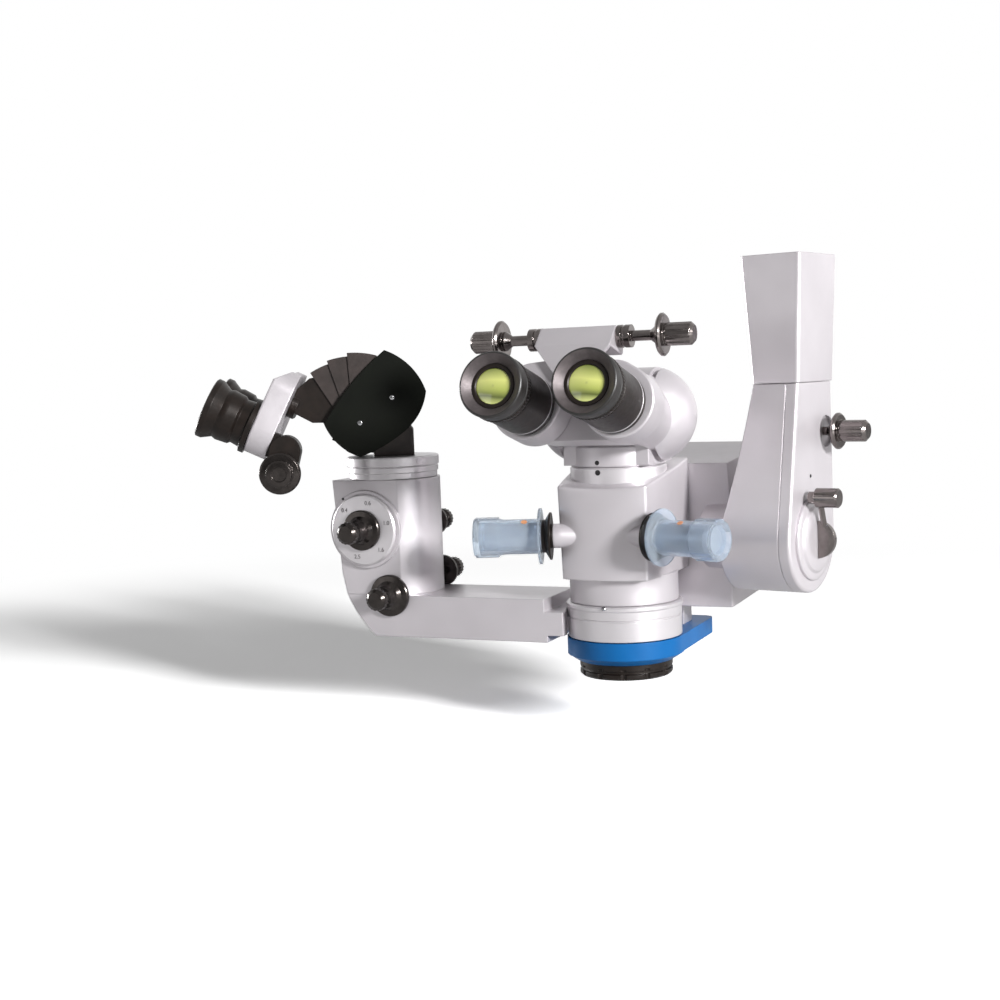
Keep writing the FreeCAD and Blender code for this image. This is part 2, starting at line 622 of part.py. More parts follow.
def tiltHousing():
    """Two domed ends on the tilt axis, joined in front of the knuckle by a bridge with a rounded apron."""
    inner = knuckleWidth / 2 + seatGap
    r, cx = domeRadius, domeCentreX
    reliefX, reliefR = inner + 3.5, 25.0
    startRadius = math.sqrt(r * r - (reliefX - cx) ** 2)
    arcMiddle = math.radians(40)
    wire = Part.Wire([Part.makeLine(V(inner, 0, 0), V(inner, reliefR, 0)),
                      Part.makeLine(V(inner, reliefR, 0), V(reliefX, startRadius, 0)),
                      Part.Arc(V(reliefX, startRadius, 0),
                               V(cx + r * math.cos(arcMiddle), r * math.sin(arcMiddle), 0),
                               V(cx + r, 0, 0)).toShape(),
                      Part.makeLine(V(cx + r, 0, 0), V(inner, 0, 0))])
    dome = Part.Face(wire).revolve(V(0, 0, 0), V(1, 0, 0), 360)
    otherDome = dome.mirror(V(0, 0, 0), V(1, 0, 0))
    half = 47.0
    back = tangentOutline([(-half + 24, -4, 24), (half - 24, -4, 24), (half - 26, 6, 22),
                           (-half + 26, 6, 22)])
    front = tangentOutline([(-half + 20, -10, 22), (half - 20, -10, 22), (half - 27, 3, 17),
                            (-half + 27, 3, 17)])
    front.translate(V(0, 0, bridgeFront))
    bridge = Part.makeLoft([back, front], True, True)
    clear = rod(apronRadius - apronWall, V(-inner, 0, 0), V(inner, 0, 0))
    sweep = block(-inner, inner, -60, 60, -60, 0)
    low = math.radians(apronLow)
    ends = [V(-inner - 4, apronRadius * math.sin(a), apronRadius * math.cos(a)) for a in (-low, -low / 2,
                                                                                          0)]
    core = V(-inner - 4, 0, 0)
    rim = Part.Wire([Part.makeLine(core, ends[0]), Part.Arc(ends[0], ends[1], ends[2]).toShape(),
                     Part.makeLine(ends[2], core)])
    apron = Part.Face(rim).extrude(V(2 * inner + 8, 0, 0))
    below = polygon([V(-inner, 0, 0), V(-inner, -apronReach * math.sin(low), apronReach * math.cos(low)),
                     V(-inner, -apronReach, 0)],
                    V(2 * inner, 0, 0))
    saddle = block(-9, 9, 5, 27, 45, bridgeFront)
    body = dome.fuse([otherDome, bridge, saddle, apron]).removeSplitter()
    pinReach = knuckleWidth / 2 + pinHold + seatGap
    bore = rod(pinRadius + runFit, V(-pinReach, 0, 0), V(pinReach, 0, 0))
    return placed(body.cut([clear, sweep, below, bore]), tubeFrame)


surgeonBarrel = 50.0     # length of each eyepiece barrel
lensProud = 1.8          # the eye lens is centred this far beyond its barrel
assistantBarrel = 36.5
assistantLensDepth = 8.0
surgeon = {"pivotX": 12.0, "pivotY": 6.5, "eyeY": -12.5, "back": 68.0, "front": 90.0,
           "circles": [(12.0, 6.5, 11.5), (32.0, -11.0, 24.5), (28.0, -4.0, 20.5)],
           "barrelRadius": 20.5, "barrelLength": surgeonBarrel, "cupRadius": 23.4, "cupLength": 17.0,
           "lensSeat": surgeonBarrel + lensProud}
assistant = {"pivotX": 12.0, "pivotY": 0.5, "eyeY": -20.6, "back": 54.5, "front": 71.5,
             "circles": [(12.0, 0.5, 11.5), (31.0, -20.6, 18.5), (26.0, 8.7, 19.0)],
             "barrelLength": assistantBarrel, "lensSeat": assistantBarrel - assistantLensDepth}
bevelDrop = 10.0         # the upper front edge of the assistant's prism cases is cut back


def prismHousing(side, unit, place):
    """Plate shaped prism case that swings about its entrance axis."""
    body = Part.Face(tangentOutline(unit["circles"])).extrude(V(0, 0, unit["front"] - unit["back"]))
    body.translate(V(0, 0, unit["back"]))
    if unit is assistant:
        crown = max(circle[1] + circle[2] for circle in unit["circles"])
        slant = polygon([V(0, crown - bevelDrop, unit["front"] + 0.01),
                         V(0, crown + 1, unit["front"] - bevelDrop - 1),
                         V(0, crown + 1, unit["front"] + 0.01)], V(80, 0, 0))
        body = body.cut(slant)
    body = rounded(body, 1.5, lambda e: e.CenterOfMass.z > unit["front"] - 0.01)
    body = body.cut(Part.makeCylinder(7.0, 10, V(unit["pivotX"], unit["pivotY"], unit["back"] - 1)))
    body = body.cut(Part.makeCylinder(13.0, 12, V(pupilHalf, unit["eyeY"], unit["front"] - 11)))
    if side < 0:
        body = body.mirror(V(0, 0, 0), V(1, 0, 0))
    return placed(body, place)


def eyeAxis(side, unit):
    return V(side * pupilHalf, unit["eyeY"], unit["front"])


def eyepieceBarrel(side, unit, place):
    r, length = unit["barrelRadius"], unit["barrelLength"]
    body = turned([(13, 0), (r - 1, 0), (r - 1, 1.2), (r, 1.8), (r, length - 9), (r - 1.5, length - 8),
                   (r - 1.5, length), (14, length),
                   (14, length - 2), (13, length - 4)], eyeAxis(side, unit))
    return placed(body, place)


def eyecup(side, unit, place):
    """Turning diopter sleeve with the wide bevelled rim."""
    r, start, length = unit["cupRadius"], unit["barrelLength"] - 7.4, unit["cupLength"]
    inner = unit["barrelRadius"] - 1.5 + runFit
    end = start + length
    body = turned([(inner, start), (r - 2.2, start), (r - 1.6, start + 1.2), (r - 1.6, start + 5),
                   (r - 0.6, start + 6), (r, start + 8),
                   (r, end - 1.4), (r - 1.2, end), (r - 2.2, end), (14.5, end - 4.5),
                   (14.5, unit["barrelLength"] + seatGap),
                   (inner, unit["barrelLength"] + seatGap)], eyeAxis(side, unit))
    return placed(body, place)


def eyeLens(side, unit, place):
    lens = lensDisc(13.6, 3.0, 1.6)
    lens.translate(eyeAxis(side, unit) + V(0, 0, unit["lensSeat"]))
    return placed(lens, place)


def assistantEyepiece(side):
    """Short eyepiece with a base flange, a waist and a flared rim."""
    length = assistant["barrelLength"]
    body = turned([(12, 0), (20.5, 0), (20.5, 3.6), (17.6, 4.6), (16.8, 11), (18.6, 13), (19.4, 22),
                   (18.4, 25), (20.4, length - 8),
                   (22.4, length - 4.5), (22.4, length - 0.8), (21.4, length), (15, length - 6),
                   (14, length - 6.2), (14, length - 11.5),
                   (12, length - 12)], eyeAxis(side, assistant))
    return placed(body, sideFrame)


spindleY = 34.6
spindleZ = 79.0
spindleReach = 48.2      # from the middle to where each knob starts
spindleCoverHalf = 26.2
spindleDiscRadius = 14.0
spindleGripRadius = 7.5
spindleGripLength = 19.5
spindleRadius = 3.5


def spindleBlock():
    """Wedge shaped cover between the eyepieces with a roof, and the spindle's bearing behind it."""
    half, footHalf, footY = spindleCoverHalf, 9.5, 4.0
    front0, front1 = surgeon["front"] + seatGap, surgeon["front"] + 4.0
    creaseY, roofY, roofZ = 26.1, 40.5, 85.0
    floorY, backZ = 25.0, surgeon["back"] + 0.5
    outline = [V(-half, footY, front0), V(-half, footY, front1), V(-half, creaseY, front1),
               V(-half, roofY, roofZ),
               V(-half, roofY - 2, backZ), V(-half, floorY, backZ), V(-half, floorY, front0)]
    body = polygon(outline, V(2 * half, 0, 0))
    for side in (-1, 1):
        corner = [V(side * footHalf, footY, backZ), V(side * half, creaseY, backZ),
                  V(side * (half + 9), creaseY, backZ),
                  V(side * (half + 9), footY - 5, backZ), V(side * footHalf, footY - 5, backZ)]
        body = body.cut(polygon(corner, V(0, 0, 40)))
    foot = block(-9, 9, 18.6, 27, bridgeFront, backZ + 1.5)
    body = body.fuse(foot).removeSplitter()
    return placed(body.cut(rod(spindleRadius + runFit, V(-60, spindleY, spindleZ),
                               V(60, spindleY, spindleZ))), tubeFrame)


def distanceSpindle():
    """Shaft across the tube with a collar, a wing disc and a fluted knob at each end."""
    reach, y, z, gripRad, gripLen = spindleReach, spindleY, spindleZ, spindleGripRadius, spindleGripLength
    stem = 0.5
    body = rod(spindleRadius, V(-reach, y, z), V(reach, y, z))
    ends = []
    for side in (-1, 1):
        knob = turned([(0, -1)] + wingKnob(0, gripRad, gripLen, spindleDiscRadius, spindleRadius, stem,
                                           6.5))
        end = stem + 9.6 + gripLen
        knob = fluted(knob, gripRad, 11.5, end - 1, 12, facing(V(side * reach, y, z), V(side, 0, 0)))
        collar = turned([(0, 0), (7.5, 0), (7.5, 3), (6.6, 3.4), (6.6, 4.6), (7.5, 5), (7.5, 9), (0, 9)],
                        V(side * (spindleCoverHalf + seatGap), y, z), V(side, 0, 0))
        ends += [knob, collar]
    return placed(body.fuse(ends).removeSplitter(), tubeFrame)


# Assistant's ring, bar, column and knobs

def assistantRing():
    """Ring that turns on the neck and carries the bar."""
    inner = neckRadius + runFit
    low, high = accessoryTop + seatGap, assistantRingTop
    r = ringRadius
    return turned([(inner, low), (r - 0.6, low), (r - 0.6, high - 11), (r - 1.1, high - 10.5),
                   (r - 1.1, high - 10), (r - 0.4, high - 9.5),
                   (r - 0.4, high - 4), (r + 0.4, high - 3), (r + 0.4, high - 1), (r - 0.8, high),
                   (inner, high)])


def assistantBar():
    """Bar from the ring to the column, with a swept lower end."""
    y = -barHalfDepth
    p0, p1 = V(-36, y, barBottom), V(-186, y, barBottom)
    p2, p3 = V(-200.0, y, 40.5), V(columnCornerX + columnTaper, y, barTop)
    top = V(-36, y, barTop)
    wire = Part.Wire([Part.makeLine(p0, p1), Part.Arc(p1, p2, p3).toShape(), Part.makeLine(p3, top),
                      Part.makeLine(top, p0)])
    bar = Part.Face(wire).extrude(V(0, 2 * barHalfDepth, 0))
    bar = bar.cut(rod(ringRadius + 1.0, V(0, 0, 0), V(0, 0, 100)))
    tongue = block(-60, -30, -18, 18, 32, assistantRingTop - 11.5)
    tongue = tongue.cut(rod(ringRadius - 0.6, V(0, 0, 0), V(0, 0, 100)))
    bar = bar.cut(block(-50, -20, -40, 40, barTop - 9, barTop + 1))
    bar = bar.cut(block(-48, -20, -40, 40, barBottom - 1, barBottom + 5))
    light = block(-168, -46, -16, 16, 34, 46)
    bar = bar.fuse(tongue).removeSplitter().cut(light)
    focusHole = rod(4.0 + runFit, V(focusX, -50, focusHeight), V(focusX, barHalfDepth - 7.5, focusHeight))
    return bar.cut(focusHole)


def columnSection(shrink=0.0):
    """Plan of the column: round towards the head, square cornered outside, flat front and back."""
    r = columnRadius - shrink
    flat = barHalfDepth - shrink
    x = math.sqrt(max(r * r - flat * flat, 1.0))
    a, b = V(columnX + x, -flat, 0), V(columnX + x, flat, 0)
    corner = columnCornerX + shrink
    return Part.Wire([Part.Arc(a, V(columnX + r, 0, 0), b).toShape(), Part.makeLine(b, V(corner, flat, 0)),
                      Part.makeLine(V(corner, flat, 0), V(corner, -flat, 0)),
                      Part.makeLine(V(corner, -flat, 0), a)])


def assistantColumn():
    low = barTop
    solid = Part.Face(columnSection()).extrude(V(0, 0, columnTop - low))
    solid.translate(V(0, 0, low))
    middle = low + 16
    lean = polygon([V(columnCornerX - 1, -60, low), V(columnCornerX + columnTaper, -60, low),
                    V(columnCornerX + columnTaper * 0.6, -60, middle),
                    V(columnCornerX, -60, columnTop), V(columnCornerX - 1, -60, columnTop)], V(0, 120, 0))
    solid = solid.cut(lean)
    drumRoom = rod(changerRadius + 1, V(dialX, -changerLength / 2 - 1, dialHeight),
                   V(dialX, changerLength / 2 + 1, dialHeight))
    shaftHole = rod(dialShaftRadius + runFit, V(dialX, -60, dialHeight),
                    V(dialX, changerLength / 2 + 5.5, dialHeight))
    focusHole = rod(4.0 + runFit, V(focusX, -50, focusHeight), V(focusX, barHalfDepth - 7.5, focusHeight))
    rearHoles = [rod(3.0 + runFit, V(x, barHalfDepth - 8, z), V(x, barHalfDepth + 5, z))
                 for x, z in ((rearUpperX, dialHeight), (rearLowerX, rearLowerHeight))]
    lightUp = Part.makeCylinder(13, 60, V(columnX, 0, dialHeight))
    boss = rod(dialRadius + 2.5, V(dialX, -barHalfDepth, dialHeight),
               V(dialX, -barHalfDepth - 2.2, dialHeight))
    return solid.fuse(boss).cut([drumRoom, shaftHole, focusHole, lightUp] + rearHoles)


def dialPlate():
    """Magnification dial, flush on its boss, with a bevelled rim."""
    r = dialRadius
    front = barHalfDepth + 2.2 + seatGap
    return turned([(dialShaftRadius, front), (r, front), (r, front + 1.8), (r - 1.2, front + 3),
                   (16, front + 3.6), (dialShaftRadius, front + 3.6)],
                  V(dialX, 0, dialHeight), V(0, -1, 0))


def knobOutline(start, flangeRadius, tipRadius, length):
    """Flange, concave neck and domed tip of the black hand knobs."""
    a = start
    waist = tipRadius * 0.84
    return [(flangeRadius, a), (flangeRadius, a + 2.4), (flangeRadius - 0.8, a + 3.2),
            (flangeRadius * 0.7, a + 3.8), (waist + 1.8, a + 7),
            (waist + 0.4, a + length * 0.45), (waist, a + length * 0.62), (tipRadius, a + length * 0.68),
            (tipRadius, a + length - 2),
            (tipRadius - 2, a + length), (0, a + length)]


def handwheel(x, z, side, start, shaftRadius, shaftDepth, flangeRadius, tipRadius, length):
    """Black knob on its shaft, pointing out of the column's front or back face."""
    outline = [(0, start - shaftDepth), (shaftRadius, start - shaftDepth), (shaftRadius, start)]
    return turned(outline + knobOutline(start, flangeRadius, tipRadius, length), V(x, 0, z), V(0, side, 0))


def magnificationKnob():
    front = barHalfDepth + 2.2 + seatGap + 3.6
    return handwheel(dialX, dialHeight, -1, front, dialShaftRadius, front + changerLength / 2 + 5, 15.0,
                     7.6, 26.0)


def rearKnob(x, z, flangeRadius, length):
    return handwheel(x, z, 1, barHalfDepth + seatGap, 3.0, 8.0, flangeRadius, 7.4, length)


def changerDrum():
    """Drum with two pairs of crossing lens tubes on the magnification shaft."""
    half = changerLength / 2
    drum = rod(changerRadius, V(dialX, -half, dialHeight), V(dialX, half, dialHeight))
    for angle in (0, 60, 120):
        way = V(math.cos(math.radians(angle)), 0, math.sin(math.radians(angle)))
        for y in (-half / 2 - 2, half / 2 + 2):
            start = V(dialX, y, dialHeight) - way * (changerRadius + 1)
            drum = drum.cut(Part.makeCylinder(5.0, 2 * changerRadius + 2, start, way))
    return drum.cut(rod(dialShaftRadius, V(dialX, -half, dialHeight), V(dialX, half, dialHeight)))


def focusKnob():
    return handwheel(focusX, focusHeight, -1, barHalfDepth + seatGap, 4.0, 2 * barHalfDepth - 8, 15.5, 7.6,
                     25.0)


# Assistant's tube

sideSwing = FreeCAD.Placement(V(0, 0, 0), FreeCAD.Rotation(zAxis, sideTurn), V(columnX, 0, 0))
sideFrame = slopeFrame(sideSwing.multVec(V(sideAxisX, 0, sideAxisZ)), direction(180 + sideTurn), sideSlope)


def swivelRing():
    """Two step ring that turns on the column's top."""
    low = columnTop + seatGap
    r = columnRadius - 0.4
    return turned([(13, low), (r - 1.5, low), (r - 1.5, low + 4), (r - 0.6, low + 4.6),
                   (r - 0.6, low + 8.2), (r - 1.2, low + 8.8), (r, low + 9.4),
                   (r, swivelRingTop - 0.8), (r - 0.8, swivelRingTop), (13, swivelRingTop)],
                   V(columnX, 0, 0))


leafCorners = [(-183.6, 236.3), (-154.1, 205.1), (-170.0, 177.0), (-204.8, 158.4), (-230.0, 183.5)]
leafBulges = [(-165.0, 223.9), (-159.2, 189.8), (-188.2, 165.2), (-219.0, 167.2), (-208.8, 212.4)]


def leafPlate(y, thickness):
    edges = []
    for k, (x, z) in enumerate(leafCorners):
        nextX, nextZ = leafCorners[(k + 1) % len(leafCorners)]
        bulgeX, bulgeZ = leafBulges[k]
        edges.append(Part.Arc(V(x, y, z), V(bulgeX, y, bulgeZ), V(nextX, y, nextZ)).toShape())
    return Part.Face(Part.Wire(edges)).extrude(V(0, thickness, 0))


def sidePlates():
    near = leafPlate(-sidePlateInner - sidePlateThickness, sidePlateThickness)
    far = leafPlate(sidePlateInner, sidePlateThickness)
    return placed(Part.makeCompound([near, far]), sideSwing)


def assistantFoot():
    """Wedge on the swivel ring with the knuckle that carries the side plates and the tilt pin."""
    half, top = 13.0, swivelRingTop
    outline = [V(-195, -half, top), V(-164.5, -half, top), V(-164.5, -half, 177), V(-176, -half, 194),
               V(-188, -half, 192),
               V(-195, -half, 180)]
    wedge = polygon(outline, V(0, 2 * half, 0))
    wedge = rounded(wedge, 2.0,
                    lambda e: abs(abs(e.CenterOfMass.y) - half) < 0.01 and e.CenterOfMass.z > top + 1)
    spacer = rod(4.0, V(-168, -sidePlateInner, 201), V(-168, sidePlateInner, 201))
    brace = polygon([V(-186, -8, 180), V(-172, -8, 180), V(-164, -8, 201), V(-172, -8, 203)], V(0, 16, 0))
    neck = polygon([V(sideAxisX, -10, sideAxisZ - 9), V(-190, -10, sideAxisZ - 11),
                    V(-190, -10, sideAxisZ + 9),
                    V(sideAxisX, -10, sideAxisZ + 9)], V(0, 20, 0))
    knuckle = rod(9.5, V(sideAxisX, -10, sideAxisZ), V(sideAxisX, 10, sideAxisZ))
    pin = rod(5.0, V(sideAxisX, -sidePlateInner, sideAxisZ), V(sideAxisX, sidePlateInner, sideAxisZ))
    return placed(wedge.fuse([spacer, brace, neck, knuckle, pin]).removeSplitter(), sideSwing)


def lamella(index):
    """Arched sheet with two cheeks; the inner ones are nested under the outer ones."""
    outer = lamellaRadius - lamellaStep * (lamellaCount - index)
    halfWidth = sidePlateInner - 0.4 - cheekStep * (lamellaCount - index)
    start = lamellaFront - lamellaPitch * (index - 1)
    def sector(radius, half, inner, a0, a1):
        w0, w1 = math.radians(a0), math.radians(a1)
        wm = (w0 + w1) / 2
        at = lambda rr, w: V(sideAxisX + rr * math.cos(w), -half, sideAxisZ + rr * math.sin(w))
        wire = Part.Wire([Part.makeLine(at(inner, w0), at(radius, w0)),
                          Part.Arc(at(radius, w0), at(radius, wm), at(radius, w1)).toShape(),
                          Part.makeLine(at(radius, w1), at(inner, w1)),
                          Part.Arc(at(inner, w1), at(inner, wm), at(inner, w0)).toShape()])
        return Part.Face(wire).extrude(V(0, 2 * half, 0))
    solid = sector(outer, halfWidth, 13.0, start - lamellaSweep, start)
    room = sector(outer - lamellaSheet, halfWidth - lamellaSheet, 12.0, start - lamellaSweep - 1, start + 1)
    return placed(solid.cut(room), sideSwing)


def sideTubeHousing():
    """Tube housing that turns on the tilt pin and carries the two prism cases."""
    half = sidePlateInner - 0.4 - cheekStep * lamellaCount - 0.2
    back = assistant["back"] - seatGap
    outline = [V(half, -5, 14), V(half, 2, 27), V(half, -1.2, 34), V(half, 0, back), V(half, 17.5, back),
               V(half, 28, back - 5), V(half, 31, 45), V(half, 22, 30), V(half, 12, 14)]
    nose = polygon(outline, V(-2 * half, 0, 0))
    plateThickness, plateNotchY = 5.0, 18.0
    plateOutline = tangentOutline([(-12, 4, 9), (12, 4, 9), (26, 9, 15), (-26, 9, 15)])
    carrier = Part.Face(plateOutline).extrude(V(0, 0, plateThickness))
    carrier.translate(V(0, 0, back - plateThickness))
    shieldHalf = sidePlateInner + sidePlateThickness + 0.5
    carrier = carrier.cut(block(-shieldHalf, shieldHalf, plateNotchY, 60, back - 6, back + 1))
    hinge = rod(10.5, V(-half, 0, 0), V(half, 0, 0))
    web = block(-half, half, -7, 7, 0, 16)
    slot = rod(10.5, V(-10.4, 0, 0), V(10.4, 0, 0)).fuse(block(-10.4, 10.4, -16, 14, -12, 11))
    body = nose.fuse(carrier).fuse(hinge).fuse(web).removeSplitter()
    body = body.cut(slot).cut(rod(5.0 + runFit, V(-30, 0, 0), V(30, 0, 0)))
    return placed(body, sideFrame)


bracketX = 33.0
bracketDepth = 18.0
sideKnobY = -42.0
sideKnobZ = 39.2
linkY = -26.1
linkZ = 42.5


def knobBracket():
    """Black link behind the near prism case that carries the distance knob."""
    outline = tangentOutline([(sideKnobY, sideKnobZ, 11.0), (linkY, linkZ, 11.2)])
    link = Part.Face(outline).extrude(V(0, 0, bracketDepth))
    link = placed(link, frame(V(bracketX, 0, 0), V(0, 1, 0), V(0, 0, 1), V(1, 0, 0)))
    neck = block(bracketX, bracketX + bracketDepth - 3, linkY - 9, linkY + 9, linkZ, assistant["back"])
    bore = rod(3.0 + runFit, V(bracketX - 1, sideKnobY, sideKnobZ),
               V(bracketX + bracketDepth + 1, sideKnobY, sideKnobZ))
    return placed(link.fuse(neck).removeSplitter().cut(bore), sideFrame)


def sideKnob():
    """Distance knob of the assistant's tube: shaft, wide disc and stepped grip."""
    a = bracketX + bracketDepth + seatGap
    body = turned([(0, bracketX - 2), (3.0, bracketX - 2), (3.0, a), (13.5, a), (15.0, a + 1.2),
                   (15.0, a + 3.0), (13.8, a + 4.2), (9.6, a + 4.8),
                   (9.6, a + 11.5), (8.6, a + 12.5), (5.6, a + 12.7), (5.0, a + 12.0), (0, a + 12.0)],
                   V(0, sideKnobY, sideKnobZ), V(1, 0, 0))
    return placed(body, sideFrame)


def build():
    inArm = {"upper_arm_housing": upperArmHousing(), "swivel_bushes": swivelBushes(),
             "arm_case_left": armCaseLeft(), "arm_case_right": armCaseRight(),
             "swivel_spindle": swivelSpindle(),
             "tilt_dome": tiltDome(), "tilt_bearings": tiltBearings(),
             "swivel_brake_knob": swivelBrakeKnob(),
             "tilt_lever": tiltLever(), "tilt_axle": tiltAxle()}
    for name, shape in inArm.items():
        shapes[name] = placed(shape, armPlace)
    shapes["carrier_housing"] = carrierHousing()
    shapes["body_casing"] = bodyCasing()
    shapes["turret_ring"] = turretRing()
    shapes["accessory_ring"] = accessoryRing()
    shapes["objective_cell"] = objectiveCell()
    lens = lensDisc(lensRadius + 0.4, 4.0, 2.0)
    lens.translate(V(0, 0, 2.5 + 2.0 + 2.0))
    shapes["objective_lens"] = lens
    shapes["zoom_guide_rods"] = zoomRods()
    cavityTop = turretTop - turretHeight
    shapes["zoom_cell_upper"] = zoomCell(cavityTop - seatGap - zoomCellThickness - zoomBack * zoomTravelUpper)
    shapes["zoom_cell_lower"] = zoomCell(baffleTop + seatGap + zoomBack * zoomTravelLower)
    for name, side in (("left", -1), ("right", 1)):
        shapes[name + "_hand_knob"] = handKnob(side)
        shapes[name + "_sterile_cap"] = sterileCap(side)
        shapes[name + "_prism_housing"] = prismHousing(side, surgeon, tubeFrame)
        shapes[name + "_eyepiece_barrel"] = eyepieceBarrel(side, surgeon, tubeFrame)
        shapes[name + "_eyecup"] = eyecup(side, surgeon, tubeFrame)
        shapes[name + "_eye_lens"] = eyeLens(side, surgeon, tubeFrame)
        shapes["assistant_" + name + "_prism_housing"] = prismHousing(side, assistant, sideFrame)
        shapes["assistant_" + name + "_eyepiece"] = assistantEyepiece(side)
        shapes["assistant_" + name + "_eye_lens"] = eyeLens(side, assistant, sideFrame)
    shapes["tube_base"] = tubeBase()
    shapes["tube_tilt_pin"] = tubePin()
    shapes["tilt_housing"] = tiltHousing()
    shapes["spindle_block"] = spindleBlock()
    shapes["distance_spindle"] = distanceSpindle()
    shapes["assistant_ring"] = assistantRing()
    shapes["assistant_bar"] = assistantBar()
    shapes["assistant_column"] = assistantColumn()
    shapes["magnification_dial"] = dialPlate()
    shapes["magnification_knob"] = magnificationKnob()
    shapes["rear_upper_knob"] = rearKnob(rearUpperX, dialHeight, 11.0, 21.0)
    shapes["rear_lower_knob"] = rearKnob(rearLowerX, rearLowerHeight, 12.0, 24.0)
    shapes["changer_drum"] = changerDrum()
    shapes["focus_knob"] = focusKnob()
    shapes["assistant_swivel_ring"] = swivelRing()
    shapes["assistant_foot"] = assistantFoot()
    shapes["assistant_side_plates"] = sidePlates()
    for index in range(1, lamellaCount + 1):
        shapes["shield_lamella_%d" % index] = lamella(index)
    shapes["assistant_tube_housing"] = sideTubeHousing()
    shapes["assistant_knob_bracket"] = knobBracket()
    shapes["assistant_distance_knob"] = sideKnob()


build()
os.makedirs("parts", exist_ok=True)
for name, shape in shapes.items():
    moved = shape.copy()
    moved.translate(-socketMouth)
    for solid in moved.Solids:
        if not solid.isValid() or solid.Volume <= 0:
            print("check", name, solid.isValid(), solid.Volume)
    moved.exportStep("parts/" + name + ".step")
print(len(shapes), "nodes; socket mouth at", socketMouth, "drum at", drumPoint, "swivel at", swivelPoint)
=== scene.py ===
import json
import math

import bmesh
import bpy
import numpy as np
from mathutils import Matrix, Vector
from mathutils.bvhtree import BVHTree


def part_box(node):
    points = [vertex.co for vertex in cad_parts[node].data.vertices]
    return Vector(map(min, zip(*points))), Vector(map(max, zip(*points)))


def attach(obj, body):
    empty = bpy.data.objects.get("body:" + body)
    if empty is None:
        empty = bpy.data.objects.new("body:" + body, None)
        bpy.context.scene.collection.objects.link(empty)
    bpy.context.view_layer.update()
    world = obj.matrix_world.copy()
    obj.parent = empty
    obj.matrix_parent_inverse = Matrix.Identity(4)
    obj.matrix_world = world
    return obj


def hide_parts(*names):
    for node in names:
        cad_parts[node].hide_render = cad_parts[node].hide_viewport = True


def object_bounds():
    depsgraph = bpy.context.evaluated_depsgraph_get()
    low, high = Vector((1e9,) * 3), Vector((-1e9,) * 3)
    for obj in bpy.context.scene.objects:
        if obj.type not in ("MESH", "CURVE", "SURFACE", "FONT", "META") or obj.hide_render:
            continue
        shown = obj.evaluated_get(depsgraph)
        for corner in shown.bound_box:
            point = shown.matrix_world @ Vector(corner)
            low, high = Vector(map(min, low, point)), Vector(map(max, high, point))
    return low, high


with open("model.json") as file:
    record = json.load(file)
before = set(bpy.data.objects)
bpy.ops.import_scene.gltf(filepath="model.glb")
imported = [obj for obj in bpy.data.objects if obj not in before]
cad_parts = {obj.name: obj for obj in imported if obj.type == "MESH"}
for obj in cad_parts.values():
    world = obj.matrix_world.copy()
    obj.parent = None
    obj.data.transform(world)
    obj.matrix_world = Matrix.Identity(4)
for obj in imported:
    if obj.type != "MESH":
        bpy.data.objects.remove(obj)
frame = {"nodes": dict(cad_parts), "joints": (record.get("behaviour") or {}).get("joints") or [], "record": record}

cadLow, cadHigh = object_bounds()
mm = 0.001
joints = {j["name"]: j for j in frame["joints"]}
bodyOfNode = {n: b for b, members in frame["record"]["behaviour"]["bodies"].items() for n in members}
print("frame loaded:", len(frame["nodes"]), "nodes")


# Camera: the head seen from the front right and a little above, tilted slightly to the left
cameraView = {
    "place": (0.2339, -1.0442, -0.0706),
    "azimuth": 23.8,   # degrees, how far the camera stands to the right
    "dip": 5.0,        # degrees below the horizontal
    "roll": 2.2,
    "lens": 54.0,      # mm, on a sensor of the next width
    "sensorWidth": 36.0,
    "imageSize": 1000,
}


def cameraAxes(view):
    # right, up and forward vectors from azimuth, dip and roll
    a, p, w = (math.radians(view[k]) for k in ("azimuth", "dip", "roll"))
    forward = Vector((-math.sin(a) * math.cos(p), math.cos(a) * math.cos(p), -math.sin(p)))
    level = Vector((math.cos(a), math.sin(a), 0))
    upright = level.cross(forward)
    right = level * math.cos(w) - upright * math.sin(w)
    up = level * math.sin(w) + upright * math.cos(w)
    return right, up, forward


def makeCamera(view):
    data = bpy.data.cameras.new("photoCamera")
    data.lens = view["lens"]
    data.sensor_width = view["sensorWidth"]
    data.clip_end = 50.0   # metres
    camera = bpy.data.objects.new("photoCamera", data)
    right, up, forward = cameraAxes(view)
    turn = Matrix((right, up, -forward)).transposed()
    camera.matrix_world = Matrix.Translation(view["place"]) @ turn.to_4x4()
    bpy.context.scene.collection.objects.link(camera)
    bpy.context.scene.camera = camera


makeCamera(cameraView)
bpy.context.scene.view_settings.view_transform = "Standard"
print("camera placed")


# Materials

def hexColour(code):
    # sRGB hex to linear: low values are divided by 12.92, the others go through the 2.4 power curve
    parts = [int(code[k:k + 2], 16) / 255 for k in (1, 3, 5)]
    linear = [v / 12.92 if v <= 0.04045 else ((v + 0.055) / 1.055) ** 2.4 for v in parts]
    return (*linear, 1.0)


def addNode(tree, kind, settings=None, inputs=None, links=None):
    # one node with its properties, constant inputs and incoming links
    node = tree.nodes.new(kind)
    for key, value in (settings or {}).items():
        setattr(node, key, value)
    for key, value in (inputs or {}).items():
        node.inputs[key].default_value = value
    for key, source in (links or {}).items():
        tree.links.new(source, node.inputs[key])
    return node


def startMaterial(name, socketValues):
    material = bpy.data.materials.new(name)
    material.use_nodes = True
    tree = material.node_tree
    shader = tree.nodes["Principled BSDF"]
    for key, value in socketValues.items():
        shader.inputs[key].default_value = value
    place = addNode(tree, "ShaderNodeTexCoord")
    return material, tree, shader, place.outputs["Object"]


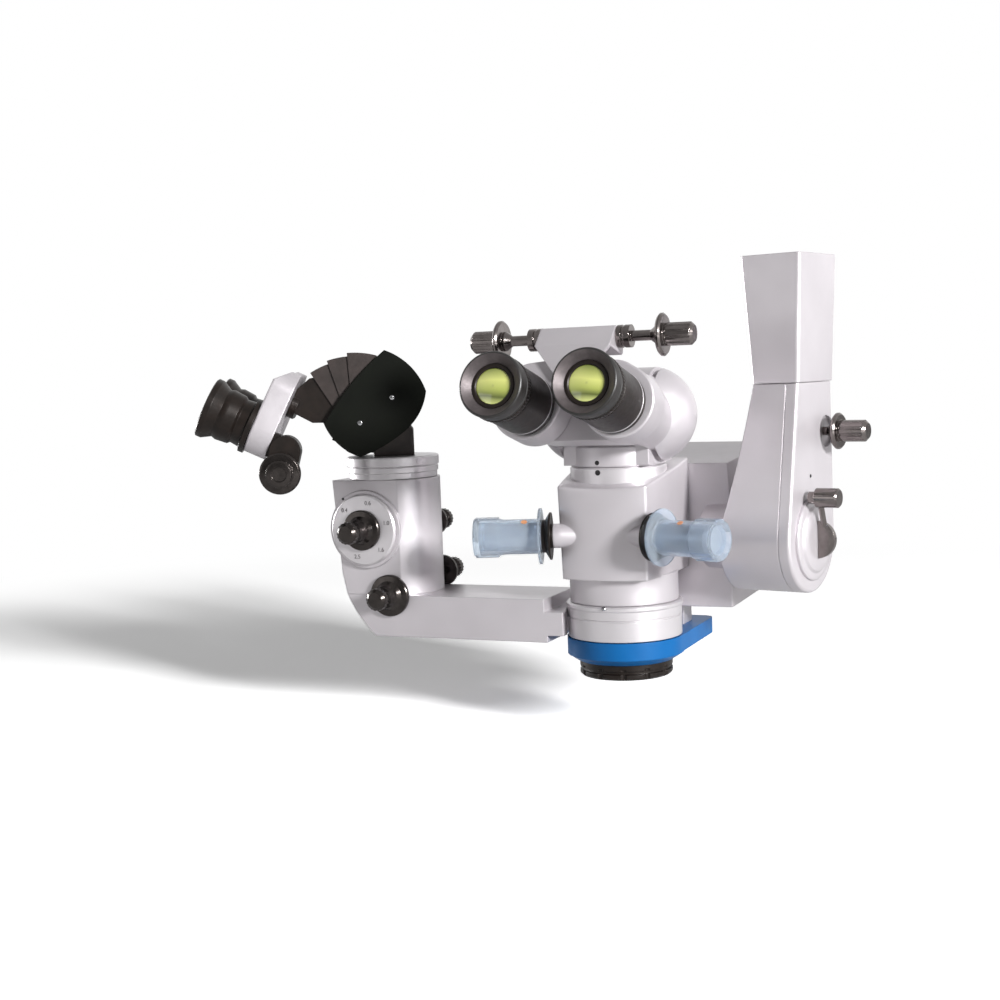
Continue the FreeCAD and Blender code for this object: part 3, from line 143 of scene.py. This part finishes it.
noiseRoughness = 0.55   # how much the finer blobs show in every pattern


def grain(tree, place, sizeMm, low, high, detail=3.0):
    # noise with blobs about sizeMm across, its middle span stretched to run from low to high
    noise = addNode(tree, "ShaderNodeTexNoise", links={"Vector": place},
                    inputs={"Scale": 1.0 / (sizeMm * mm), "Detail": detail, "Roughness": noiseRoughness})
    return addNode(tree, "ShaderNodeMapRange", links={"Value": noise.outputs["Fac"]},
                   inputs={"From Min": 0.3, "From Max": 0.7, "To Min": low, "To Max": high}).outputs["Result"]


def mottle(made, sizeMm, first, second, detail=3.0, high=1.0):
    # base colour that drifts from the first to the second over blobs of sizeMm
    tree, shader, place = made[1:]
    share = grain(tree, place, sizeMm, 0.0, high, detail)
    blend = addNode(tree, "ShaderNodeMix", {"data_type": "RGBA"},   # 6 and 7 are its colours, 2 the blend
                    {6: hexColour(first), 7: hexColour(second)}, {0: share})
    tree.links.new(blend.outputs[2], shader.inputs["Base Color"])


def sheen(made, sizeMm, smooth, rough):
    # roughness that drifts between two values over blobs of sizeMm
    tree, shader, place = made[1:]
    tree.links.new(grain(tree, place, sizeMm, smooth, rough), shader.inputs["Roughness"])


def relief(made, sizeMm, strength, depthMm, edgeMm, detail=3.0):
    # bump of sizeMm grains, over edges that catch the light as if rounded by edgeMm
    tree, shader, place = made[1:]
    height = addNode(tree, "ShaderNodeTexNoise", links={"Vector": place},
                     inputs={"Scale": 1.0 / (sizeMm * mm), "Detail": detail, "Roughness": noiseRoughness})
    edges = addNode(tree, "ShaderNodeBevel", {"samples": 6}, {"Radius": edgeMm * mm})
    bump = addNode(tree, "ShaderNodeBump", inputs={"Strength": strength, "Distance": depthMm * mm},
                   links={"Height": height.outputs["Fac"], "Normal": edges.outputs["Normal"]})
    tree.links.new(bump.outputs["Normal"], shader.inputs["Normal"])


def silverEnamel():
    # sprayed satin enamel on castings: warm silver grey, soft highlights, faint orange peel
    made = startMaterial("silverEnamel", {"Metallic": 0.48, "Coat Weight": 0.2, "Coat Roughness": 0.2})
    mottle(made, 60.0, "#d0cbcf", "#c5c0c4", 2.0)
    sheen(made, 7.0, 0.36, 0.42)
    relief(made, 0.9, 0.10, 0.03, 1.3, 2.0)
    return made[0]


def turnedSatin():
    # rings turned on a lathe and blasted: brighter and smoother than the enamel, with a fine even grain
    made = startMaterial("turnedSatin", {"Metallic": 0.6, "Base Color": hexColour("#d8d4d7")})
    sheen(made, 5.0, 0.30, 0.36)
    relief(made, 0.5, 0.04, 0.02, 0.6, 1.0)
    return made[0]


def blueEnamel():
    # glossy stove enamel: strong clean blue under a clear coat
    made = startMaterial("blueEnamel", {"Roughness": 0.42, "Specular IOR Level": 0.25, "Coat Weight": 0.05})
    mottle(made, 30.0, "#025f9f", "#025794")
    relief(made, 1.0, 0.07, 0.02, 1.0, 2.0)
    return made[0]


def blackAnodised():
    # black anodised aluminium: deep warm black, satin with a soft grey sheen along curves
    made = startMaterial("blackAnodised", {"Metallic": 0.35, "Specular IOR Level": 0.4})
    mottle(made, 9.0, "#241c18", "#1a1512")
    sheen(made, 3.0, 0.34, 0.42)
    relief(made, 0.5, 0.06, 0.02, 0.5)
    return made[0]


def blackSheet():
    # powder coated sheet: matt black with a brown green tinge and a fine grain
    made = startMaterial("blackSheet", {"Specular IOR Level": 0.12})
    mottle(made, 18.0, "#0b0e08", "#080a06")
    sheen(made, 1.2, 0.46, 0.60)
    relief(made, 0.7, 0.22, 0.03, 0.4)
    return made[0]


def brownSheet():
    # the nested sheets: brown black, more worn by rubbing than the side plates
    made = startMaterial("brownSheet", {"Specular IOR Level": 0.35})
    mottle(made, 10.0, "#3a3230", "#2e2826")
    sheen(made, 2.0, 0.38, 0.52)
    relief(made, 0.8, 0.15, 0.03, 0.4)
    return made[0]


def blackChrome():
    # polished black knobs: nearly black chrome with white streaks along the flutes
    made = startMaterial("blackChrome", {"Metallic": 0.9})
    mottle(made, 6.0, "#4b4644", "#3d3937")
    sheen(made, 2.5, 0.16, 0.24)
    relief(made, 0.6, 0.04, 0.02, 0.5)
    return made[0]


def darkChrome():
    # black nickel plate: mirror dark, with white streaks along flutes and rims
    made = startMaterial("darkChrome", {"Metallic": 1.0})
    mottle(made, 6.0, "#8c8583", "#7a7371")
    sheen(made, 2.5, 0.13, 0.20)
    relief(made, 0.6, 0.03, 0.02, 0.5)
    return made[0]


def satinBevel():
    # turned and blackened rim round each lens: a grey sheen that runs round the ring
    made = startMaterial("satinBevel", {"Metallic": 0.6})
    mottle(made, 5.0, "#625b5c", "#544e4f")
    sheen(made, 1.5, 0.46, 0.52)
    return made[0]


def eyecupRubber():
    # moulded rubber rim: smooth, dark, with a grey sheen on its bevel
    made = startMaterial("eyecupRubber", {"Specular IOR Level": 0.6})
    mottle(made, 8.0, "#262423", "#1e1c1b")
    sheen(made, 1.5, 0.36, 0.44)
    relief(made, 0.4, 0.08, 0.02, 0.6)
    return made[0]


def frostedSilicone():
    # moulded translucent silicone: pale blue, frosted, the grip shows through as a soft shape
    made = startMaterial("frostedSilicone", {"Transmission Weight": 0.8, "IOR": 1.25})
    mottle(made, 14.0, "#e4eef8", "#d6e4f3")
    sheen(made, 3.0, 0.14, 0.22)
    relief(made, 0.8, 0.06, 0.02, 0.4)
    return made[0]


def groundSteel():
    # ground bright steel: hard clear highlights, fine marks
    made = startMaterial("groundSteel", {"Metallic": 1.0, "Base Color": hexColour("#c4c4c6")})
    sheen(made, 1.0, 0.18, 0.30)
    return made[0]


def bearingBronze():
    # plain bearing bronze: dull yellow brown metal
    made = startMaterial("bearingBronze", {"Metallic": 1.0})
    mottle(made, 4.0, "#b08a4e", "#9a7641")
    sheen(made, 1.0, 0.30, 0.42)
    return made[0]


lensTintAndPaintedReflection = {
    "halfHeight": 13.0,   # mm from the lens centre to where the bands of tint and painted reflection end
    "blotSize": 26.0,     # mm
    "blotShift": 6.0,     # mm, how far the blots push the bands up and down
    # yellow green coating colour in light and dark bands, which are painted reflection and painted shade
    "bands": [(0.08, "#c9d080"), (0.24, "#59622c"), (0.40, "#a9b25a"), (0.62, "#d0d47c"), (0.92, "#6f7a34")],
    "surgeonUp": Vector((0, 0.26, 0.97)),
    "assistantUp": Vector((0.3, 0.15, 0.9)).normalized(),
}


def coatedGlassPaintedReflection(name, centre, up):
    # coated lens: the coating's own yellow green tint laid in light and dark bands across its height, bent by
    # large blots; the bands and blots are painted reflection and painted shade, all under a clear polished surface
    material, tree, shader, place = startMaterial(name, {"Roughness": 0.06, "Coat Weight": 1.0,
                                                         "Coat Roughness": 0.02, "IOR": 1.6})
    reach, blotShift = lensTintAndPaintedReflection["halfHeight"] * mm, lensTintAndPaintedReflection["blotShift"] * mm
    shift = addNode(tree, "ShaderNodeVectorMath", {"operation": "SUBTRACT"}, {1: centre}, {0: place})
    level = addNode(tree, "ShaderNodeVectorMath", {"operation": "DOT_PRODUCT"}, {1: up},
                    {0: shift.outputs["Vector"]})
    blot = addNode(tree, "ShaderNodeTexNoise", links={"Vector": place},
                   inputs={"Scale": 1.0 / (lensTintAndPaintedReflection["blotSize"] * mm), "Detail": 1.0, "Roughness": 0.3})
    warp = addNode(tree, "ShaderNodeMapRange", inputs={"To Min": -blotShift, "To Max": blotShift},
                   links={"Value": blot.outputs["Fac"]})
    height = addNode(tree, "ShaderNodeMath", {"operation": "ADD"}, None,
                     {0: level.outputs["Value"], 1: warp.outputs["Result"]})
    share = addNode(tree, "ShaderNodeMapRange", inputs={"From Min": -reach, "From Max": reach},
                    links={"Value": height.outputs["Value"]})
    # painted reflection and painted shade: the tint steps between light and dark bands by height across the lens
    ramp = addNode(tree, "ShaderNodeValToRGB", links={"Fac": share.outputs["Result"]})
    stops, bands = ramp.color_ramp.elements, lensTintAndPaintedReflection["bands"]
    stops[0].position, stops[0].color = bands[0][0], hexColour(bands[0][1])
    stops[1].position, stops[1].color = bands[-1][0], hexColour(bands[-1][1])
    for position, code in bands[1:-1]:
        stops.new(position).color = hexColour(code)
    tree.links.new(ramp.outputs["Color"], shader.inputs["Base Color"])
    return material


def clearGlass():
    # polished optical glass without a coating: pale grey green with a mirror like surface
    made = startMaterial("clearGlass", {"Roughness": 0.05, "Coat Weight": 1.0, "IOR": 1.6,
                                        "Transmission Weight": 0.5})
    mottle(made, 30.0, "#b9c4b4", "#a6b3a4")
    return made[0]


def inkPaint(name, code):
    # filled engraving: flat paint with a trace of grain
    made = startMaterial(name, {"Roughness": 0.5})
    mottle(made, 1.0, code, "#000000", high=0.3)
    return made[0]


finishes = {   # by the frame's material slot
    "silver_paint": silverEnamel(),
    "satin_ring": turnedSatin(),
    "blue_paint": blueEnamel(),
    "black_anodised": blackAnodised(),
    "black_sheet": blackSheet(),
    "black_plastic": blackChrome(),
    "eyecup_rubber": eyecupRubber(),
    "cap_silicone": frostedSilicone(),
    "steel": groundSteel(),
    "bronze": bearingBronze(),
    "coated_glass": clearGlass(),
}
# dark ink: real print on the index dots, painted shade on the screw slots and the foot notch
darkInk = inkPaint("darkInk", "#1a1819")
greyInk = inkPaint("greyInk", "#6b6668")
orangeInk = inkPaint("orangeInk", "#e8a070")
nestedBrown = brownSheet()
plated = darkChrome()
rimBevel = satinBevel()
print("materials made")


# Pieces taken over from the frame

nodeSharp = math.radians(28)   # edges sharper than this stay crisp on pieces from the frame
gridSharp = math.radians(35)   # and on new pieces
nodeMerge, gridMerge = 2e-6, 1e-7   # metres, below which two points are one
gripStart = 0.5   # mm along the knob's axis, where its black collar ends and the bright grip starts


def camel(node):
    words = node.split("_")
    return words[0] + "".join(w.capitalize() for w in words[1:])


def shareNormals(mesh, limit):
    # smooth everywhere except where two faces meet at more than the limit
    work = bmesh.new()
    work.from_mesh(mesh)
    for face in work.faces:
        face.smooth = True
    for edge in work.edges:
        edge.smooth = len(edge.link_faces) == 2 and edge.calc_face_angle(0.0) < limit
    work.to_mesh(mesh)
    work.free()


def dressNode(node, material):
    # copy of the node with its triangles joined, so that curved faces shade smoothly
    mesh = frame["nodes"][node].data.copy()
    work = bmesh.new()
    work.from_mesh(mesh)
    bmesh.ops.remove_doubles(work, verts=work.verts, dist=nodeMerge)
    work.to_mesh(mesh)
    work.free()
    shareNormals(mesh, nodeSharp)
    piece = bpy.data.objects.new(camel(node), mesh)
    bpy.context.scene.collection.objects.link(piece)
    mesh.materials.clear()
    mesh.materials.append(material)
    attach(piece, bodyOfNode[node])
    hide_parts(node)
    return piece


dressed = {}
for part in frame["record"]["subparts"]:
    node, slotName = part["node"], part["material_slot"]
    finish = finishes[slotName]
    if node.startswith("shield_lamella") or node == "assistant_foot":
        finish = nestedBrown
    elif node in ("distance_spindle", "swivel_brake_knob", "tilt_lever"):
        finish = plated
    dressed[node] = dressNode(node, finish)
print("nodes dressed:", len(dressed))


# gives each eye lens its coated glass with bands of painted reflection and painted shade
def coatLensPaintReflection(node, up):
    low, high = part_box(node)
    dressed[node].data.materials[0] = coatedGlassPaintedReflection(camel(node) + "Coating", (low + high) / 2, up)


def splitGrip(side):
    # the grip under the sterile cap is bright metal, the dished collar and the shaft stay black
    joint = joints[side + "_knob_turn"]
    start, axis = Vector(joint["pos_m"]), Vector(joint["axis"])
    piece = dressed[side + "_hand_knob"]
    piece.data.materials.append(finishes["satin_ring"])
    for face in piece.data.polygons:
        if (face.center - start).dot(axis) > gripStart * mm:
            face.material_index = 1


for side in ("left", "right"):
    coatLensPaintReflection(side + "_eye_lens", lensTintAndPaintedReflection["surgeonUp"])
    coatLensPaintReflection("assistant_" + side + "_eye_lens", lensTintAndPaintedReflection["assistantUp"])
    splitGrip(side)


# New pieces: surfaces worked out on grids

def gridPiece(name, points, material, body):
    # points is (rows, columns, 3); each row is a ring that closes on itself
    rows, columns = points.shape[:2]
    mesh = bpy.data.meshes.new(name)
    index = np.arange(rows * columns).reshape(rows, columns)
    beside = np.roll(index, -1, 1)
    quads = np.stack([index[:-1], beside[:-1], beside[1:], index[1:]], -1).reshape(-1, 4)
    mesh.from_pydata(points.reshape(-1, 3).tolist(), [], quads.tolist())
    piece = bpy.data.objects.new(name, mesh)
    bpy.context.scene.collection.objects.link(piece)
    work = bmesh.new()
    work.from_mesh(mesh)
    bmesh.ops.remove_doubles(work, verts=work.verts, dist=gridMerge)
    bmesh.ops.dissolve_degenerate(work, dist=gridMerge, edges=work.edges)
    bmesh.ops.recalc_face_normals(work, faces=work.faces)
    work.to_mesh(mesh)
    work.free()
    shareNormals(mesh, gridSharp)
    mesh.materials.append(material)
    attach(piece, body)
    return piece


def axisFrame(axis):
    # two directions across an axis, and the axis itself
    axis = Vector(axis).normalized()
    helper = Vector((0, 0, 1)) if abs(axis.z) < 0.9 else Vector((1, 0, 0))
    side = axis.cross(helper).normalized()
    return np.array(side), np.array(axis.cross(side).normalized()), np.array(axis)


def turnedPoints(centre, axis, profile, steps, ribs=0, ribDepth=0.0):
    # revolve (along, radius) pairs in mm; between the first and last pair the radius swells with the ribs:
    # radius + ribDepth * (0.5 + 0.5 cos(ribs * angle))
    e1, e2, e3 = axisFrame(axis)
    angle = np.linspace(0, 2 * math.pi, steps, endpoint=False)
    along = np.array([p[0] for p in profile])[:, None] * mm
    radius = np.repeat(np.array([p[1] for p in profile])[:, None], steps, 1)
    if ribs:
        swell = ribDepth * (0.5 + 0.5 * np.cos(ribs * angle))[None, :]
        inside = np.ones(len(profile))
        inside[0] = inside[-1] = 0
        radius = radius + swell * inside[:, None]
    radius = radius * mm
    ring = np.cos(angle)[None, :, None] * e1 + np.sin(angle)[None, :, None] * e2
    return np.array(centre)[None, None, :] + radius[:, :, None] * ring + along[:, :, None] * e3


def tipReach(node, joint):
    # how far a node reaches along its joint's axis, in mm, outwards from the joint's point
    start, axis = Vector(joint["pos_m"]), Vector(joint["axis"])
    return max((v.co - start).dot(axis) for v in frame["nodes"][node].data.vertices) / mm


ribbedTips = {   # mm; from and to are measured back from the knob's end
    "magnification_knob": {"joint": "magnification_turn", "radius": 7.6, "from": 8.4, "to": 2.0, "ribs": 18},
    "focus_knob": {"joint": "assistant_focus_turn", "radius": 7.6, "from": 8.2, "to": 2.0, "ribs": 18},
    "rear_upper_knob": {"joint": "rear_upper_turn", "radius": 7.4, "from": 6.7, "to": 2.0, "ribs": 18},
    "rear_lower_knob": {"joint": "rear_lower_turn", "radius": 7.4, "from": 7.6, "to": 2.0, "ribs": 18},
    "assistant_distance_knob": {"joint": "assistant_distance_turn", "radius": 9.6, "from": 7.6, "to": 1.6,
                                "ribs": 24},
}
ribShape = {"sunk": 0.3, "edge": 0.05, "crest": 0.15, "chamfer": 0.5, "depth": 0.45, "stepsEach": 8}


def addRibs(node, tip):
    # fine flutes in a band round a knob's outer end, chamfered at both edges
    joint = joints[tip["joint"]]
    end, r, chamfer = tipReach(node, joint), tip["radius"], ribShape["chamfer"]
    a, b = end - tip["from"], end - tip["to"]
    sunk, edge, crest = r - ribShape["sunk"], r + ribShape["edge"], r + ribShape["crest"]
    profile = [(a, sunk), (a, edge), (a + chamfer, crest), (b - chamfer, crest), (b, edge), (b, sunk)]
    points = turnedPoints(joint["pos_m"], joint["axis"], profile, tip["ribs"] * ribShape["stepsEach"],
                          tip["ribs"], ribShape["depth"])
    gridPiece(camel(node) + "Ribs", points, finishes["black_plastic"], bodyOfNode[node])


for node, tip in ribbedTips.items():
    addRibs(node, tip)


facets = {"cup": 160, "retainer": 96, "band": 480, "line": 128, "screw": 32}   # steps round each turned piece
cup = {   # (length, radius) pairs in mm; lengths run back from the rim's front edge
    "shell": [(4.9, 14.5), (7.0, 14.45), (7.0, 19.2), (17.0, 19.25), (17.0, 20.2), (16.2, 20.9), (11.6, 20.9),
              (11.0, 20.4), (10.2, 20.4), (9.4, 21.2), (1.5, 21.5), (0.5, 21.1), (0.0, 20.4), (0.15, 19.9)],
    "bevel": [(0.15, 19.9), (0.6, 19.3), (4.3, 14.9), (4.9, 14.5)],
    "retainer": [(5.4, 14.3), (4.5, 14.3), (4.5, 12.4), (5.2, 11.5), (5.4, 11.5), (5.4, 14.3)],
    "band": [(16.0, 20.7), (16.0, 20.95), (15.6, 21.1), (12.4, 21.1), (12.0, 20.95), (12.0, 20.7)],
    "bandRibs": 60,
    "bandRibDepth": 0.35,
}
barrelLine = [(6.0, 20.35), (6.0, 20.75), (6.5, 20.85), (7.0, 20.75), (7.0, 20.35)]   # from the diopter joint


def eyecupParts(side):
    # moulded cup turned from its outline, satin bevel, black retaining ring and knurled grip
    joint = joints[side + "_diopter_turn"]
    end = tipReach(side + "_eyecup", joint)

    def turned(name, outline, steps, material, ribs=0, ribDepth=0.0):
        profile = [(end - back, radius) for back, radius in outline]
        points = turnedPoints(joint["pos_m"], joint["axis"], profile, steps, ribs, ribDepth)
        return gridPiece(side + name, points, material, side + "_cup")

    shell = turned("EyecupShell", cup["shell"], facets["cup"], finishes["eyecup_rubber"])
    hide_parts(side + "_eyecup")
    bpy.data.objects.remove(dressed.pop(side + "_eyecup"))
    turned("RimBevel", cup["bevel"], facets["cup"], rimBevel)
    turned("LensRetainer", cup["retainer"], facets["retainer"], finishes["black_anodised"])
    turned("DiopterBand", cup["band"], facets["band"], finishes["black_anodised"],
           cup["bandRibs"], cup["bandRibDepth"])

    # thin bright line near the foot of the barrel
    points = turnedPoints(joint["pos_m"], joint["axis"], barrelLine, facets["line"])
    gridPiece(side + "BarrelLine", points, finishes["satin_ring"], side + "_ocular")


for side in ("left", "right"):
    eyecupParts(side)
print("turned details made")


# Small fittings placed by the pixel of the photograph where they lie,
# each seated on the piece that carries it

treeOf = {}


def seatOn(pixel, node):
    # the point and outward normal where the camera's ray through a pixel meets a node
    if node not in treeOf:
        data = frame["nodes"][node].data
        treeOf[node] = BVHTree.FromPolygons([v.co for v in data.vertices],
                                            [p.vertices for p in data.polygons])
    right, up, forward = cameraAxes(cameraView)
    half = cameraView["imageSize"] / 2
    scale = cameraView["lens"] / cameraView["sensorWidth"] * cameraView["imageSize"]
    ray = (forward + right * ((pixel[0] - half) / scale) + up * ((half - pixel[1]) / scale)).normalized()
    spot, normal = treeOf[node].ray_cast(Vector(cameraView["place"]), ray)[:2]
    if spot is None:
        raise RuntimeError(f"no part of {node} lies behind pixel {pixel}")
    return spot, normal if normal.dot(ray) < 0 else -normal


headShape = {"sunk": 0.2, "slotReach": 0.8, "slotHalf": 0.28, "slotFrom": -0.05, "slotTo": 0.06}


def screwHead(name, pixel, node, radius, height, material, slotName, slotted):
    # low domed head sunk a little into its seat: the radius shrinks to 0.82 and 0.5 of itself towards the top
    spot, normal = seatOn(pixel, node)
    profile = [(-headShape["sunk"], radius), (height * 0.6, radius), (height * 0.92, radius * 0.82),
               (height, radius * 0.5), (height, 0.0)]
    points = turnedPoints(spot, normal, profile, facets["screw"])
    gridPiece(name, points, material, bodyOfNode[node])
    if slotted:   # dark bar across the head, painted shade for the slot's hollow: two rectangles closed by their centre
        e1, e2, e3 = axisFrame(normal)
        long, wide = radius * headShape["slotReach"], headShape["slotHalf"]
        corners = np.array([[-long, -wide], [long, -wide], [long, wide], [-long, wide]]) * mm
        levels = [(height + headShape[k]) * mm for k in ("slotFrom", "slotTo")]
        bars = np.array([[np.array(spot) + x * e1 + y * e2 + z * e3 for x, y in corners] for z in levels])
        top = np.repeat(bars[1].mean(0)[None, None], 4, 1)
        gridPiece(name + "Slot", np.concatenate([bars, top]), darkInk, bodyOfNode[node])


fittings = {   # pixel of the photograph, piece that carries it, radius and height in mm, look
    "footIndexDot": ((597.7, 472.8), "turret_ring", 1.9, 0.5, "dark"),
    # dark disc of painted shade standing for the notch's hollow
    "footNotch": ((597, 463), "tube_base", 1.6, 0.3, "dark"),
    "columnDot": ((343, 499), "assistant_column", 1.0, 0.35, "dark"),
    "armDot": ((810.5, 476), "arm_case_right", 1.2, 0.4, "dark"),
    "leafScrewLow": ((360, 423), "assistant_side_plates", 1.7, 0.7, "steel"),
    "leafScrewHigh": ((392, 397.5), "assistant_side_plates", 1.7, 0.7, "steel"),
    "ringScrewUpper": ((604, 600), "assistant_ring", 1.7, 1.2, "steel"),
    "ringScrewLower": ((604, 609), "assistant_ring", 1.7, 1.2, "steel"),
    "rightCapMark": ((680, 523), "right_sterile_cap", 2.2, 0.2, "orange"),
    "leftCapMark": ((524, 522), "left_sterile_cap", 2.2, 0.2, "orange"),
}
looks = {"dark": (darkInk, "black_plastic"), "steel": (finishes["steel"], "steel"),
         "orange": (orangeInk, "cap_silicone")}
for name, (pixel, node, radius, height, look) in fittings.items():
    screwHead(name, pixel, node, radius, height, *looks[look], look == "steel")
print("fittings seated:", len(fittings))


dial = {   # lengths in mm; the face is flat to flatRadius and then falls by faceFall out to its rim
    "numbers": ["0.4", "0.6", "1.0", "1.6", "2.5"],
    "first": 135.0,   # degrees, with the next numbers a step further on, clockwise
    "step": 60.0,
    "textSize": 4.4,
    "textRadius": 20.6,
    "thickness": 0.05,
    "lift": 0.2,
    "flatRadius": 16.0,
    "rimRadius": 25.3,
    "faceFall": 0.6,
}


def dialFace():
    # plain numbers on the sloped face of the magnification dial
    joint = joints["magnification_turn"]
    centre, axis = Vector(joint["pos_m"]), Vector(joint["axis"])
    slope = dial["faceFall"] / (dial["rimRadius"] - dial["flatRadius"])
    fall = slope * (dial["textRadius"] - dial["flatRadius"])
    rise = tipReach("magnification_dial", joint) - fall + dial["lift"]
    turn = Matrix((Vector((1, 0, 0)), Vector((0, 0, 1)), axis)).transposed().to_4x4()
    for k, word in enumerate(dial["numbers"]):
        name = "dialNumber%d" % k
        curve = bpy.data.curves.new(name, "FONT")
        curve.body = word
        curve.size = dial["textSize"] * mm
        curve.extrude = dial["thickness"] * mm
        curve.align_x, curve.align_y = "CENTER", "CENTER"
        holder = bpy.data.objects.new(name + "Curve", curve)
        bpy.context.scene.collection.objects.link(holder)
        bpy.context.view_layer.update()
        letters = bpy.data.meshes.new_from_object(holder)
        bpy.data.objects.remove(holder)
        w = math.radians(dial["first"] - k * dial["step"])
        out = Vector((math.cos(w), 0, math.sin(w)))
        place = centre + out * (dial["textRadius"] * mm) + axis * (rise * mm)
        letters.transform(Matrix.Translation(place) @ turn)
        letters.name = name
        number = bpy.data.objects.new(name, letters)
        bpy.context.scene.collection.objects.link(number)
        letters.materials.clear()
        letters.materials.append(greyInk)
        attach(number, "magnification")


dialFace()
print("dial marked")


# Stage and light

stage = {   # metres, apart from the tones
    "floorDrop": 0.042,
    "size": 16.0,
    "centre": (-0.33, 0.20),
    "whiteFrom": 0.46,   # distance from the centre where the paper starts to fade into white
    "whiteTo": 0.95,
    "seenTone": 1.70,    # brighter than paper, so that only the shadow shows in the picture
    "bounceTone": 0.8,   # what the floor sends back to the object
}
lamps = [   # direction towards the lamp, distance and size in metres, power in watts
    {"name": "keyRight", "towards": (0.88, -0.47, 0.30), "distance": 4.5, "size": 0.75, "power": 330.0},
    {"name": "fillLeft", "towards": (-0.62, -0.78, 0.08), "distance": 2.6, "size": 1.2, "power": 4.0},
    {"name": "rimLeft", "towards": (-1.0, 0.25, 0.04), "distance": 4.0, "size": 0.8, "power": 105.0},
]
lookedAt = Vector((-0.10, -0.02, -0.16))
studio = {   # brightness of the room, and the spans over which it changes, as cosines and heights
    "diffuse": 0.15,
    "white": 1.0,
    "dark": 0.20,
    "darkTowards": (0.25, -0.96, 0.0),
    "darkSpan": (0.1, 0.9),
    "overhead": 0.45,
    "overheadSpan": (0.3, 0.95),
}


def makeStage():
    # paper floor that fades into plain white away from the object
    low = cadLow.z - stage["floorDrop"]
    half = stage["size"] / 2
    corners = [(-half, -half, low), (half, -half, low), (half, half, low), (-half, half, low)]
    mesh = bpy.data.meshes.new("floor")
    mesh.from_pydata(corners, [], [(0, 1, 2, 3)])
    floor = bpy.data.objects.new("floor", mesh)
    bpy.context.scene.collection.objects.link(floor)
    material, tree, shader, place = startMaterial(
        "floorPaper", {"Roughness": 0.9, "Specular IOR Level": 0.0, "Emission Color": (1, 1, 1, 1)})
    seen = addNode(tree, "ShaderNodeLightPath").outputs["Is Camera Ray"]
    reach = addNode(tree, "ShaderNodeVectorMath", {"operation": "DISTANCE"}, {1: (*stage["centre"], low)},
                    {0: place}).outputs["Value"]
    away = addNode(tree, "ShaderNodeMapRange", {"interpolation_type": "SMOOTHSTEP"},
                   {"From Min": stage["whiteFrom"], "From Max": stage["whiteTo"]},
                   {"Value": reach}).outputs["Result"]
    glow = addNode(tree, "ShaderNodeMath", {"operation": "MULTIPLY"}, None,
                   {0: away, 1: seen}).outputs["Value"]
    tone = addNode(tree, "ShaderNodeMapRange", links={"Value": seen},
                   inputs={"To Min": stage["bounceTone"], "To Max": stage["seenTone"]}).outputs["Result"]
    dim = addNode(tree, "ShaderNodeMath", {"operation": "SUBTRACT"}, {0: 1.0}, {1: glow}).outputs["Value"]
    paper = addNode(tree, "ShaderNodeMath", {"operation": "MULTIPLY"}, None,
                    {0: tone, 1: dim}).outputs["Value"]
    tree.links.new(paper, shader.inputs["Base Color"])
    tree.links.new(glow, shader.inputs["Emission Strength"])
    mesh.materials.append(material)


def makeWorld():
    # white room, darker in front where a studio has its camera, and darker overhead; mirrors and glass
    # see all of it, matt surfaces get the diffuse share, and the camera sees plain white
    world = bpy.data.worlds.new("studio")
    bpy.context.scene.world = world
    world.use_nodes = True
    tree = world.node_tree
    tree.nodes.clear()
    ray = addNode(tree, "ShaderNodeLightPath").outputs
    direction = addNode(tree, "ShaderNodeTexCoord").outputs["Generated"]
    facing = addNode(tree, "ShaderNodeVectorMath", {"operation": "DOT_PRODUCT"}, {1: studio["darkTowards"]},
                     {0: direction}).outputs["Value"]
    card = addNode(tree, "ShaderNodeMapRange", links={"Value": facing},
                   inputs={"From Min": studio["darkSpan"][0], "From Max": studio["darkSpan"][1],
                           "To Min": studio["white"], "To Max": studio["dark"]}).outputs["Result"]
    height = addNode(tree, "ShaderNodeSeparateXYZ", links={"Vector": direction}).outputs["Z"]
    ceiling = addNode(tree, "ShaderNodeMapRange", links={"Value": height},
                      inputs={"From Min": studio["overheadSpan"][0], "From Max": studio["overheadSpan"][1],
                              "To Min": 1.0, "To Max": studio["overhead"]}).outputs["Result"]
    room = addNode(tree, "ShaderNodeMath", {"operation": "MULTIPLY"}, None,
                   {0: card, 1: ceiling}).outputs["Value"]
    mirror = addNode(tree, "ShaderNodeMath", {"operation": "MAXIMUM"}, None,
                     {0: ray["Is Glossy Ray"], 1: ray["Is Transmission Ray"]}).outputs["Value"]
    bounce = addNode(tree, "ShaderNodeMix", inputs={2: studio["diffuse"]}, links={0: mirror, 3: room})
    strength = addNode(tree, "ShaderNodeMix", inputs={3: 1.0},
                       links={0: ray["Is Camera Ray"], 2: bounce.outputs[0]})
    back = addNode(tree, "ShaderNodeBackground", inputs={"Color": (1, 1, 1, 1)},
                   links={"Strength": strength.outputs[0]})
    addNode(tree, "ShaderNodeOutputWorld", links={"Surface": back.outputs["Background"]})


def makeLamps():
    for lamp in lamps:
        data = bpy.data.lights.new(lamp["name"], "AREA")
        data.size = lamp["size"]
        data.energy = lamp["power"]
        holder = bpy.data.objects.new(lamp["name"], data)
        towards = Vector(lamp["towards"]).normalized()
        holder.location = lookedAt + towards * lamp["distance"]
        holder.rotation_mode = "QUATERNION"
        holder.rotation_quaternion = (-towards).to_track_quat("-Z", "Y")
        bpy.context.scene.collection.objects.link(holder)


makeStage()
makeWorld()
makeLamps()
print("stage and lamps ready")
